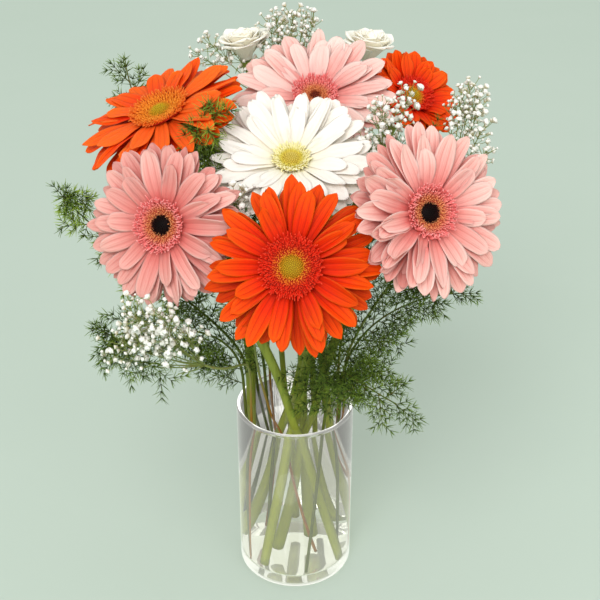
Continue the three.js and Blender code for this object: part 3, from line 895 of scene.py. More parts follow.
@dataclass(frozen=True)
class Vase:
    """The straight glass vase: a wall, a thick floor, a rounded foot and a rounded rim."""

    radius: float = 45.0
    height: float = 150.0
    wall: float = 3.0
    floor: float = 10.0
    foot: float = 4.0
    rim: float = 1.0
    hollow: float = 0.8  # how far the middle of its underside stands up
    proud: float = 0.12  # how far the water reaches into the glass, so that no film of air shows
    level: float = 145.0  # height of the water's surface
    edge: float = 1.2  # how far the water climbs up the glass
    sides: int = 160

    def turn_out(self, name: str, profile: list, finish: ClearFinish) -> bpy.types.Object:
        """Turns a profile about the vase's axis.

        Args:
            name: the piece's name.
            profile: the parts of the profile, in turn, of (radius, height) points.
            finish: the piece's finish.

        Returns:
            The piece.
        """
        mould = Mould()
        mould.add(turned(np.concatenate(profile), self.sides))
        return mould.cast(name, [finish])

    def build(self) -> bpy.types.Object:
        """Turns the glass from the middle of its underside round the rim to the middle of its floor.

        Returns:
            The vase.
        """
        inside = self.radius - self.wall
        outer = self.radius - self.foot
        top = self.height - self.rim
        share = np.linspace(0.0, 1.0, 6)
        under = np.stack([outer * share, self.hollow * (1 - smooth(0.2, 0.95, share))], 1)
        floor = np.stack([(inside - self.foot) * (1 - share), np.full(6, self.floor)], 1)
        profile = [
            under[:-1],
            corner((outer, self.foot), self.foot, -90, 0, 9),
            corner((self.radius - self.rim, top), self.rim, 0, 90, 5),
            corner((inside + self.rim, top), self.rim, 90, 180, 5),
            corner((inside - self.foot, self.floor + self.foot), self.foot, 0, -90, 9),
            floor[1:],
        ]
        return self.turn_out("glass_vase", profile, GLASS)

    def fill(self) -> bpy.types.Object:
        """Turns the water, whose edge climbs the glass by a falling exponential.

        Returns:
            The water.
        """
        inside = self.radius - self.wall + self.proud
        foot = self.foot + self.proud
        inward = np.linspace(0.0, 1.0, 7)
        profile = [
            [[0.0, self.floor - self.proud]],
            corner((inside - foot, self.floor + self.foot), foot, -90, 0, 9),
            [[inside, self.level + self.edge]],
            np.stack([inside - 0.25 - 4.0 * inward, self.level + self.edge * np.exp(-3.2 * inward)], 1),
            [[0.5 * inside, self.level], [0.0, self.level]],
        ]
        return self.turn_out("vase_water", profile, WATER)


# ---------------------------------------------------------------- gerberas


@dataclass(frozen=True)
class PetalRow:
    """One row of ray petals. Rise is its angle over the bloom's own, in degrees. Shade is painted shade,
    deepest on the rows that lie behind.
    """

    petals: int
    offset: float
    height: float
    rise: float
    reach: float
    shade: float


def rows_of(back: int, low: int, high: int, front: int, short: int) -> tuple[PetalRow, ...]:
    """Gives a bloom's rows of petals, from the back to the few short ones in front.

    Args:
        back: petals of the row at the back.
        low: petals of the next row.
        high: petals of the next, each between two of the last.
        front: petals of the row in front.
        short: the short petals.

    Returns:
        The rows.
    """
    return (
        PetalRow(back, 5, -3.0, -6.0, 0.95, 0.7),
        PetalRow(low, 0, -1.9, -2.5, 1.0, 0.28),
        PetalRow(high, 180 / low, 0.0, 2.0, 0.98, 0.0),
        PetalRow(front, 7, 1.6, 5.5, 0.88, 0.0),
        PetalRow(short, 31, 2.0, 8.0, 0.74, 0.05),
    )


@dataclass(frozen=True)
class PetalForm:
    """How a petal narrows, ends and folds. Places along it run from 0 at the root to 1 at the tip."""

    width: float  # half width at the shoulder
    end: float  # powers by which it narrows towards the tip
    power: float
    blunt: float  # share of the width left at the tip
    tooth: float  # depth of the notches in its tip
    tip_curl: float
    fold: float
    shoulder: float = 0.58  # where it is widest

    def widths(self, u: Array) -> Array:
        """Gives shares of its width: a sine up to the shoulder, then a falling power of a power.

        Args:
            u: places along it.

        Returns:
            The shares there.
        """
        late = np.clip((u - self.shoulder) / (1 - self.shoulder), 0.0, 1.0)
        keep = 1.0 - self.blunt ** (1.0 / self.power)
        grow = 0.4 + 0.6 * np.sin(0.5 * np.pi * np.clip(u / self.shoulder, 0.0, 1.0))
        return grow * (1.0 - keep * late**self.end) ** self.power

    def cut(self, u: Array, depth: Array) -> Array:
        """Gives how far its tip is cut back: by the square of the place across and two bell curves.

        Args:
            u: places along it.
            depth: depth of each petal's notches, as a share of their usual depth.

        Returns:
            The cuts, (petals, rows, corners).
        """
        notch = np.exp(-(((np.abs(AROUND) - 0.36) / 0.16) ** 2)) * each(depth)
        return smooth(0.86, 1.0, u)[:, None] * (self.tooth * notch + 1.4 * AROUND**2)


@dataclass(frozen=True)
class Press:
    """A bend, in degrees, of the petals round the clock angle `at`."""

    at: float
    spread: float
    bend: float


class Bloom(Enum):
    """The three kinds of gerbera in the bunch."""

    ORANGE = "orange"
    PINK = "pink"
    WHITE = "white"


@dataclass(frozen=True)
class Kind:
    """What the gerberas of a kind share."""

    rows: tuple[PetalRow, ...]
    form: PetalForm
    petal: PetalFinish
    floret: FloretFinish
    eye: EyeFinish
    fringe: float  # how much longer the outermost florets are
    slot: str  # the record's material of the eye


KINDS = {
    Bloom.ORANGE: Kind(
        rows_of(16, 15, 14, 10, 4),
        PetalForm(5.7, 2.5, 0.56, 0.22, 0.5, -6.0, 0.10),
        PetalFinish(
            "petals_orange", "c01000", "f02e00", "ff5606", "fd5c0e", "a01000", "c82400", "981000", "ff7626",
            vein_and_crease_strength=0.5,
        ),
        FloretFinish("florets_orange", "ea861c", "da2204", "fcb840", "f45030", "b82004", turn_at=0.3),
        EyeFinish("eye_green", "d2b426", "dc901c", "a07c14"),
        0.7,
        "eye_green",
    ),
    Bloom.PINK: Kind(
        rows_of(22, 20, 18, 14, 7),
        PetalForm(5.5, 2.6, 0.52, 0.30, 0.8, -3.0, 0.16),
        PetalFinish(
            "petals_pink", "d85c58", "f29e96", "fcc8be", "fee4da", "c4645c", "eca298", "be5850", "fee4da",
            vein_and_crease_strength=0.42,
        ),
        FloretFinish("florets_pink", "d87c48", "f07e7c", "f8b47c", "fcb8b4", "c05040", turn_at=0.56),
        EyeFinish("eye_dark", "180404", "2a0808", "060101"),
        1.4,
        "eye_dark",
    ),
    Bloom.WHITE: Kind(
        rows_of(22, 21, 20, 15, 7),
        PetalForm(5.4, 2.6, 0.52, 0.30, 1.8, 2.0, 0.12),
        PetalFinish(
            "petals_white", "f8f0d4", "fdf5ea", "fff8f0", "fffaf4", "e8dfcc", "fcf5ea", "f4ebde", "fffaf4",
            vein_and_crease_strength=0.12, soft=0.25,
        ),
        FloretFinish("florets_white", "e6d64e", "f4ecae", "f8ec78", "fefbe6", "d6c850"),
        EyeFinish("eye_green_pale", "e8d878", "ecd458", "c0a83c"),
        0.5,
        "eye_green",
    ),
}
CLOSED_EYE = EyeFinish("eye_brown", "8a3418", "b4542c", "561c0e")
# Each row of bracts: how many, where on the cup's depth they begin and end, and their half width.
BRACTS = ((16, 0.75, 0.15, 2.0), (18, 0.5, -0.12, 1.9), (20, 0.25, -0.25, 1.7))


@dataclass(frozen=True)
class Gerbera:
    """One gerbera: ray petals, the fringed ring, the eye, and the stem with its green cup."""

    name: str
    kind: Bloom
    head: Head
    line: Stem
    order: int  # sets its draws apart
    reach: float  # radius to the petals' tips
    rise: float  # the petals' angle over the bloom's face, and how far they bend on the way
    curl: float
    ring: float  # radius of the fringed ring, and of the eye
    eye: float
    presses: tuple[Press, ...] = ()
    redden: float = 1.0  # how far the ring's colours run on outward
    depth: float = 0.0  # how much deeper its petals' colour is
    closed: bool = False  # whether its eye is still brown buds
    wide: float = 1.0  # width of its petals as a share of their kind's
    root: float = 11.0
    thickness: float = 0.7
    hub: float = 2.6  # half its height
    hub_radius: float = 11.6
    floret_density: float = 2.9  # florets on a square of the ring's radius
    bud_density: float = 2.4
    dome: float = 2.72  # height of the eye's middle over its edge
    eye_hairs: int = 110
    stem_hairs: int = 1400
    cup_radius: float = 9.5
    cup_depth: float = 13.0
    stem_radius: float = 3.4

    def pressed(self, turn: Array) -> Array:
        """Gives the presses' bend at each clock angle.

        Each press gives its own, times 1 less the square of how far away it is in its spreads.

        Args:
            turn: clock angles, in degrees.

        Returns:
            The bends, in degrees.
        """
        bend = np.zeros_like(turn)
        for press in self.presses:
            away = np.abs((turn - press.at + 180.0) % 360.0 - 180.0) / press.spread
            bend += press.bend * np.clip(1.0 - away**2, 0.0, None)
        return bend

    def petal_row(self, number: int, row: PetalRow) -> tuple[Shape, dict[str, Array]]:
        """Builds one row of petals.

        A petal's middle line climbs at a slope that runs from its start to its end slope, with a
        curl near the tip and a faint sway, summed step by step. Across it, three ribs run along the
        petal as a cosine, it is scooped by the square of the place across, its edges wave as a sine,
        and the whole rolls and twists a little.

        Args:
            number: the row's place from the back.
            row: the row.

        Returns:
            The petals, and the values on their points.
        """
        form, v = KINDS[self.kind].form, AROUND
        index = np.arange(row.petals)
        lot = draw(1000 * self.order + 100 * number + 7 * index + np.arange(15)[:, None])
        shifted, tilted, bent, longer, curled, wider, scooped, waved = lot[:8]
        rolled, twisted, notched, drifted, deepened, swayed, ribbed = lot[8:]
        turn = row.offset + 360.0 * index / row.petals + 4.0 * shifted
        pressed = self.pressed(turn)
        start = np.radians(self.rise + row.rise + 1.5 * tilted)
        end = start + np.radians(self.curl + 4.0 * bent + pressed)
        length = self.reach * row.reach * (1 + 0.05 * longer) - self.root

        # The middle lines.
        u = np.sin(0.5 * np.pi * np.linspace(0.0, 1.0, 20)) ** 0.9  # closer rows towards the tip
        curl = np.radians(form.tip_curl + 16.0 * curled)[:, None] * smooth(0.6, 1.0, u)
        sway = 0.10 * np.sin(2 * np.pi * (1.2 * u + swayed[:, None])) * smooth(0.1, 0.5, u)
        slope = start[:, None] + (end - start)[:, None] * u + curl + sway
        run, climb = climbing(slope, u, length)

        # What stands to the side of them and over them.
        wide = self.wide * form.width * each(form.widths(u) * (1 + 0.12 * wider)[:, None], 1)
        fade = each(smooth(0.0, 0.25, u) * (1.0 - 0.7 * smooth(0.75, 1.0, u)), 1)
        ribs = each(0.2 + 0.1 * ribbed) * np.cos(3 * np.pi * v) * fade
        scoop = each(form.fold + 0.16 * scooped + 0.016 * np.abs(pressed)) * wide * v**2
        wavy = 0.7 * np.sin(8.0 * u[:, None] + 6.0 * each(waved)) * v**2 * np.sign(v)
        aside, lift = wide * v, ribs + scoop + wavy + skin(self.thickness)
        twist = (14.0 + 1.6 * np.abs(pressed)) * twisted
        roll = each(np.radians(8.0 * rolled[:, None] + twist[:, None] * u), 1)
        aside, lift = aside * np.cos(roll) - lift * np.sin(roll), aside * np.sin(roll) + lift * np.cos(roll)
        drift = each(0.05 * drifted * length) * u[:, None] ** 2

        # Their places in the bloom.
        slope = each(slope, 1)
        far = self.root + run - form.cut(u, 1 + 0.4 * notched) - lift * np.sin(slope)
        height = row.height + climb + lift * np.cos(slope)
        rings = polar(far, each(np.radians(turn)), height, aside + drift)
        # Tone: the bloom's depth, the row's painted shade, and a random part.
        tone = each(np.clip(self.depth + row.shade + 0.25 * (1 + deepened), -1, 1))
        return capped(rings), {"along": u[:, None], "across": v, "tone": tone, "part": SIDE}

    def petals(self, crowd: Crowd) -> bpy.types.Object:
        """Builds all the petals and claims their room.

        Args:
            crowd: the room that blooms take up.

        Returns:
            The piece.
        """
        kind = KINDS[self.kind]
        mould = Mould()
        for number, row in enumerate(kind.rows):
            shape, values = self.petal_row(number, row)
            mould.add(shape, **values)
            crowd.claim(self.head.place(shape[0][:, 2::4, 1:14:4]))
        hub, edge = self.hub, self.hub_radius
        profile = [[0, -hub], [9, -hub], [edge, -1.6], [edge, 1.4], [9, hub], [0, hub]]
        mould.add(turned(profile, 40), tone=0.4)
        mould.place(self.head)
        return mould.cast(f"{self.name}_ray_petals", [kind.petal])

    def under(self, radius: Array) -> Array:
        """Gives the height of the ring's underside: level to 8.5 mm, then rising with the petals."""
        return self.hub + GAP + np.clip(radius - 8.5, 0, None) * np.tan(np.radians(self.rise + 13))

    def florets(self) -> bpy.types.Object:
        """Builds the fringed ring: a bed, and florets set out by the golden turn.

        A floret's middle line is its root plus a share of its length along a direction that turns
        from upright to leaning, more so the further out it stands, and hooks a little. The
        outermost are the fringe, which is longer. Each swells below its tip.

        Returns:
            The piece.
        """
        kind = KINDS[self.kind]
        inner, edge = 0.92 * self.eye, 0.84 * self.ring
        count = int(self.floret_density * (edge**2 - inner**2)) + 80
        lot = draw(70000 + 2000 * self.order + np.arange(count) + 0.3 * np.arange(7)[:, None])
        shifted, leant, longer, hooked, drifted, wider, toned = lot
        reach, turn = golden(count, inner, edge)
        ratio = (reach - inner) / (edge - inner)
        fringe = kind.fringe * ratio**4
        t = np.linspace(0.0, 1.0, 5)
        lean = each(np.radians(2 + 66 * ratio**1.5 + 12 * leant), 1)
        hook = each(np.radians(24 * hooked - 34 * fringe), 1)
        bend = lean * (0.55 + 0.45 * t) + hook * t**2
        long = each((1.9 + 1.1 * ratio + 3.0 * fringe) * (1 + 0.2 * longer), 1)
        out = reach[:, None] + long * t * np.sin(bend)
        height = each(self.under(reach) * 0.86 + 0.2, 1) + long * t * np.cos(bend)
        aside = each((0.4 + 1.0 * fringe) * drifted, 1) * t**2
        paths = polar(out, each(turn + 0.05 * shifted, 1), height, aside)
        swell = np.array([0.6, 0.8, 0.95, 1.0, 0.45])
        radii = each((0.44 + 0.12 * ratio) * (1 + 0.15 * wider), 1) * swell
        tone, part = each(0.5 + 0.5 * toned), each(self.redden * ratio)
        mould = Mould()
        mould.add(tubes(paths, radii, 5, 0.7), along=t[:, None], tone=tone, part=part)
        radius = np.linspace(inner * 0.8, self.ring * 0.9, 6)
        upper = np.stack([radius, self.under(radius) * 0.9 + 0.4], 1)
        bed = [[0.0, upper[0, 1] - 1.0], *(upper - [0.0, 0.5]), *upper[::-1], [0.0, upper[0, 1]]]
        mould.add(turned(bed, 48), part=0.6 * self.redden)
        mould.place(self.head)
        return mould.cast(f"{self.name}_floret_ring", [kind.floret])

    def buds(self) -> bpy.types.Object:
        """Builds the eye: a low dome covered with buds set out by the golden turn, and hairs round it.

        The dome's height falls as the square of the radius. A bud is a short tube that swells at
        half its length, standing along the dome's slope. A hair leans outward as it rises.

        Returns:
            The piece.
        """
        seat, size = self.hub + GAP, self.eye * 0.98
        share = np.linspace(1.0, 0.0, 8)
        dome = np.stack([size * share, seat + self.dome * (1 - share**2) + 0.2], 1)
        mould = Mould()
        profile = [[0.0, seat], [size * 0.6, seat], [size, seat], *dome]
        # The dome, at the buds' roots, takes the painted shade between them.
        mould.add(turned(profile, 36), tone=0.8, part=0.5)

        count = int(self.bud_density * size**2)
        ratio, turn = golden(count, 0.0, 1.0)
        seed = 90000 + 500 * self.order + np.arange(count)
        t = np.linspace(0.0, 1.0, 5)
        base = polar(ratio * size, turn, seat + self.dome * (1 - ratio**2) - 0.2)
        way = polar(np.sin(0.45 * ratio), turn, np.cos(0.45 * ratio))
        paths = base[:, None] + way[:, None] * each(1.5 + 0.25 * draw(seed)) * t[:, None]
        swell = np.array([0.55, 0.95, 1.0, 0.8, 0.4])
        radii = each((0.40 + 0.10 * ratio) * (1 + 0.1 * draw(seed + 0.5)), 1) * swell
        tone = each(0.5 + 0.5 * draw(seed + 0.7))
        mould.add(tubes(paths, radii, 6), along=t[:, None], tone=tone, part=each(ratio))

        hair = seed[0] + np.arange(self.eye_hairs)
        lean = (0.75 + 0.35 * draw(hair + 0.9))[:, None] * t
        out = 0.93 * size + 1.9 * t * np.sin(lean)
        paths = polar(out, GOLDEN * hair[:, None], seat + 0.4 + 2.3 * t * np.cos(lean))
        radii = np.array([0.2, 0.17, 0.15, 0.12, 0.06])
        mould.add(tubes(paths, radii, 4), along=t[:, None], tone=0.5, part=1.0)
        mould.place(self.head)
        return mould.cast(f"{self.name}_eye_buds", [CLOSED_EYE if self.closed else KINDS[self.kind].eye])

    def cup(self, depth: Array) -> Array:
        """Gives the cup's radius at a share of its depth: the root of 1 less that share's power."""
        return self.cup_radius * np.sqrt(1 - np.clip(depth, 0, 1) ** 2.6)

    def bracts(self, mould: Mould, low: float) -> None:
        """Adds three rows of bracts that lie on the cup.

        A bract's middle line follows the cup's outline from below to above its edge, and its
        width is a half sine along it.

        Args:
            mould: where they go.
            low: height of the cup's upper side.
        """
        t = np.linspace(0.0, 1.0, 7)
        angle = ring_angles(6)[:, None]
        for row, (count, begin, finish, wide) in enumerate(BRACTS):
            down = begin + (finish - begin) * t
            index = np.arange(count)
            turn = each(2 * np.pi * (index + 0.5 * row) / count + 0.05 * draw(index + 300 * row), 1)
            paths = polar(self.cup(down) + 0.25 + 0.5 * t, turn, low - self.cup_depth * down)
            outward, sidewise = polar(1.0, turn, 0.0), polar(0.0, turn, 0.0, 1.0)
            ring = 0.3 * np.sin(angle) * outward[:, :, None] - np.cos(angle) * sidewise[:, :, None]
            rings = paths[:, :, None] + each(wide * np.sin(np.pi * (0.25 + 0.72 * t))) * ring
            mould.add((rings, paths[:, [0, -1]]), along=t[:, None], tone=0.3 + 0.2 * row)

    def stem(self) -> bpy.types.Object:
        """Builds the stem, the cup under the head and its bracts.

        Returns:
            The piece.
        """
        low = -self.hub - GAP
        depth = np.linspace(0.875, 0.0, 8)
        shell = np.stack([self.cup(0.995 * depth), low - self.cup_depth * depth], 1)
        mould = Mould()
        profile = [[0.0, low - self.cup_depth - 0.2], *shell, [0.0, low]]
        mould.add(turned(profile, 40), tone=0.5, along=0.7)
        self.bracts(mould, low)
        mould.place(self.head)
        path = self.line.to_bloom(self.head, low)
        path = np.concatenate([spaced(path[:31], 24)[:-1], spaced(path[30:], 44)])
        swell = 1.0 + 0.05 * np.sin(np.linspace(0, 9, len(path)) + self.order)
        swell[-6:] += np.linspace(0.0, 0.45, 6)
        tone = 0.2 + 0.1 * (self.order % 3)
        flower_stem(mould, path, self.stem_radius * swell, 16, 0.03, tone)
        self.hairs(mould, path)
        return mould.cast(f"{self.name}_flower_stem", [STEM_GREEN])

    def hairs(self, mould: Mould, path: Array) -> None:
        """Adds fine hairs to the stem above the vase: each stands out from it and bends a little up.

        Args:
            mould: where they go.
            path: the stem's points.
        """
        path = path[path[:, 2] > COLLAR]
        number = np.arange(self.stem_hairs)
        root, way = on_path(path, (len(path) - 1.001) * (number + 0.5) / len(number))
        out = round_about(way, GOLDEN * number + draw(number))
        root = root + out * 0.97 * self.stem_radius
        t = np.array([0.0, 0.5, 1.0])[:, None]
        long = each(0.9 + 0.3 * draw(number + 0.5))
        paths = root[:, None] + long * (out[:, None] * t + 0.4 * way[:, None] * t**2)
        mould.add(tubes(paths, np.array([0.05, 0.04, 0.02]), 3), along=0.9)


def flower_stem(mould: Mould, path: Array, radii: Array, sides: int, ribs: float, tone: float) -> None:
    """Adds the stem of a flower, which is darker below and paler in the water.

    Args:
        mould: where it goes.
        path: its middle line.
        radii: its radii, or one.
        sides: corners of a ring.
        ribs: depth of four ribs along it, as a share of its radius.
        tone: its tone.
    """
    tube = tubes(path[None], radii, sides, ribs=ribs)
    along, across = smooth(120.0, 330.0, path[:, 2])[:, None], np.arange(sides) / sides
    mould.strand(path, tube, 190.0, along=along, across=across, tone=tone)


GERBERAS = (
    Gerbera(
        "gerbera_orange_front", Bloom.ORANGE, Head((-1, -95, 318), (-0.11, -0.84, 0.53)),
        Stem((-22, -24), (3, -12), 50), 0, 57, 6, -6, 21, 7.5, (Press(5, 75, -20), Press(175, 75, 10)),
    ),
    Gerbera(
        "gerbera_white_centre", Bloom.WHITE, Head((-2, -8, 353), (0, -0.42, 0.91)),
        Stem((8, 16), (6, 8), 70), 1, 58, 12, -4, 13, 6, (Press(90, 65, 15),), wide=1.16,
    ),
    Gerbera(
        "gerbera_pink_left", Bloom.PINK, Head((-85, -57, 329), (-0.38, -0.83, 0.41)),
        Stem((32, -18), (-2, -28), 60), 2, 55, 7, -6, 18, 6.5, (Press(-15, 80, -18),), depth=0.34, wide=1.08,
    ),
    Gerbera(
        "gerbera_pink_right", Bloom.PINK, Head((86, -60, 339), (0.41, -0.78, 0.48)),
        Stem((-10, 2), (16, -8), 60), 3, 58, 7, -6, 18, 6.5, (Press(-165, 80, 24),), depth=-0.1, wide=1.14,
    ),
    Gerbera(
        "gerbera_pink_top", Bloom.PINK, Head((15, 76, 368), (0, -0.47, 0.88)),
        Stem((35, 6), (24, 4), 80), 4, 60, 10, -4, 16.5, 3.8, depth=-0.5, closed=True, wide=1.3,
    ),
    Gerbera(
        "gerbera_orange_left", Bloom.ORANGE, Head((-92, 22, 376), (-0.31, -0.23, 0.92)),
        Stem((-35, 4), (-34, 6), 80), 5, 60, 1, -8, 22, 7.5, (Press(50, 80, 16),),
        redden=0.32, depth=-0.5, wide=1.22,
    ),
    Gerbera(
        "gerbera_orange_right", Bloom.ORANGE, Head((89, 108, 357), (0.42, -0.52, 0.74)),
        Stem((-26, 16), (2, 20), 60), 6, 39, 20, 0, 15, 6, depth=-0.15, wide=1.1,
    ),
)


# ---------------------------------------------------------------- roses


@dataclass(frozen=True)
class Rose:
    """A cream rose: petals wrapped round a bud, each later one wider open, over a green calyx."""

    name: str
    head: Head
    line: Stem
    order: int
    count: int = 15
    height: float = 27.0
    core: float = 5.5
    thickness: float = 0.8
    stem_radius: float = 2.2

    def petals(self, crowd: Crowd) -> bpy.types.Object:
        """Builds the petals.

        A petal's middle line climbs at a slope that falls from start to end, and more at its lip,
        summed step by step. Across, it wraps round the bud's axis by an angle that grows with the
        place across. It is widest at half its length and rounded above, and its lip ripples a little.

        Args:
            crowd: the room that blooms take up.

        Returns:
            The piece.
        """
        v = AROUND
        index = np.arange(self.count)
        share = index / (self.count - 1)
        lot = draw(9000 + 50 * self.order + index + 0.2 * np.arange(5)[:, None])
        shifted, taller, curled, rippled, toned = lot
        turn = np.radians(137.5 * index + 8 * shifted)
        start, end = np.radians(84 - 24 * share), np.radians(84 - 62 * share)
        u = np.sin(0.5 * np.pi * np.linspace(0.0, 1.0, 18))
        lip = np.radians(30 * share + 8 * curled)[:, None] * smooth(0.72, 1.0, u)
        slope = start[:, None] + (end - start)[:, None] * u - lip
        size = self.height * (0.86 + 0.14 * share) * (1 + 0.05 * taller)
        drop = 1 - 0.06 * v**2 * u[:, None] ** 2
        run, climb = climbing(slope, u, size) * drop
        rounded = np.sqrt(1 - 0.985 * np.clip((u - 0.5) / 0.5, 0, 1) ** 3.2)
        spread = each(start) * each((0.6 + 0.4 * smooth(0, 0.5, u)) * rounded, 1)
        ripple = 0.7 * np.sin(4 * v + 4 * each(rippled)) * u[:, None] ** 3
        lift = skin(self.thickness) + ripple
        slope = each(slope, 1)
        radius = 0.6 * self.core + run - lift * np.sin(slope)
        rings = polar(radius, each(turn) + v * spread, 1.5 + climb + lift * np.cos(slope))
        crowd.claim(self.head.place(rings[:, 4::4, 1:14:4]))
        mould = Mould()
        tone = each(0.15 + 0.15 * toned)
        mould.add(capped(rings), along=u[:, None], across=v, tone=tone, part=SIDE)
        bud = [[0, 0], [5, 2], [6, 8], [5.6, 15], [3.4, 21], [0.8, 24], [0, 24.4]]
        mould.add(turned(bud, 32), along=0.6, tone=0.3)
        mould.place(self.head)
        return mould.cast(f"{self.name}_rose_petals", [CREAM])

    def stem(self) -> bpy.types.Object:
        """Builds the stem, the calyx and its five sepals, each a half sine wide along its length.

        Returns:
            The piece.
        """
        mould = Mould()
        calyx = [[0, -8], [2.4, -7.4], [4.2, -4.6], [5.0, -2.2], [4.8, -0.4], [0, -0.3]]
        mould.add(turned(calyx, 28), tone=0.4, along=0.6)
        t = np.linspace(0.0, 1.0, 7)
        paths = polar(4.2 + 8.5 * t - 2.0 * t**2, ring_angles(5)[:, None], -1.4 - 6.5 * t**1.6)
        sepals = tubes(paths, 1.9 * np.sin(np.pi * (0.3 + 0.66 * t)), 6, 0.3)
        mould.add(sepals, along=t[:, None], tone=0.3)
        mould.place(self.head)
        path = self.line.to_bloom(self.head, -GAP)
        flower_stem(mould, path, self.stem_radius, 12, 0.0, 0.5)
        return mould.cast(f"{self.name}_rose_stem", [STEM_GREEN])


ROSES = (
    Rose("rose_left", Head((-37, 126, 380), (-0.15, 0, 0.99)), Stem((0, 31), (-9, 30), 80), 0),
    Rose("rose_right", Head((56, 140, 374), (0.15, 0, 0.99)), Stem((18, 30), (14, 33), 80), 1),
)


# ---------------------------------------------------------------- asparagus fern


@dataclass(frozen=True)
class Twigs:
    """Straight twigs as whole arrays: roots (n, 3), directions (n, 3) and lengths (n,)."""

    root: Array
    way: Array
    length: Array

    def at(self, share: Array) -> Array:
        """Gives points at shares of the twigs' lengths, (n, shares, 3): root plus way times length."""
        return self.root[:, None] + self.way[:, None] * each(self.length[:, None] * share, 1)

    def trimmed(self, crowd: Crowd) -> "Twigs":
        """Gives the twigs, each as far as it is clear of the blooms, without those left too short.

        Args:
            crowd: the room that blooms take up.

        Returns:
            The kept twigs.
        """
        share = np.linspace(0.15, 1.0, 8)
        clear = crowd.is_clear(self.at(share).reshape(-1, 3), 2.2).reshape(-1, len(share))
        free = np.cumprod(clear, axis=1).sum(1)
        kept = (free >= 2) & (self.length * free > 40)
        length = self.length * share[np.maximum(free - 1, 0)]
        return Twigs(self.root[kept], self.way[kept], length[kept])

    def forked(self, root: Array, ends: Sequence[Point]) -> "Twigs":
        """Gives these twigs and more that rise from one point.

        Args:
            root: that point.
            ends: their ends.

        Returns:
            All the twigs.
        """
        rise = np.array(ends, float).reshape(-1, 3) - root
        far = np.linalg.norm(rise, axis=1)
        more = (np.broadcast_to(root, rise.shape), rise / far[:, None], far)
        return Twigs(*(np.concatenate(pair) for pair in zip((self.root, self.way, self.length), more)))

    def add_to(self, mould: Mould, radius: float) -> None:
        """Adds the twigs to a mould, tapering from a radius at their roots."""
        t = np.linspace(0.0, 1.0, 5)
        mould.add(tubes(self.at(t), radius * (1 - 0.6 * t), 5), paint=1, tone=0.2, along=t[:, None])


def needles(start: Array, ray: Array, tone: Array, young: Array) -> tuple[Shape, dict[str, Array]]:
    """Builds needles. Each bends aside by the square of the place along it, and tapers to a point.

    Args:
        start: (needles, 3) points where they begin.
        ray: (needles, 3) their lengths along their directions.
        tone: (needles,) their tones.
        young: (needles,) how young they are, which shows more towards their points.

    Returns:
        The needles, and the values on their points.
    """
    t = np.array([0.0, 0.45, 0.95])
    bent = draw(tone[:, None] * np.array([91.0, 57.0, 33.0]))
    sag = np.array([0.0, 0.0, -0.06]) + np.array([0.2, 0.2, 0.12]) * bent
    long = np.linalg.norm(ray, axis=1)[:, None]
    paths = start[:, None] + ray[:, None] * t[:, None] + sag[:, None] * each(long * t**2, 1)
    values = {"along": t[:, None], "tone": each(tone), "part": each(young) * (0.25 + 0.75 * t[:, None])}
    return tubes(paths, np.array([0.22, 0.27, 0.09]), 3), values


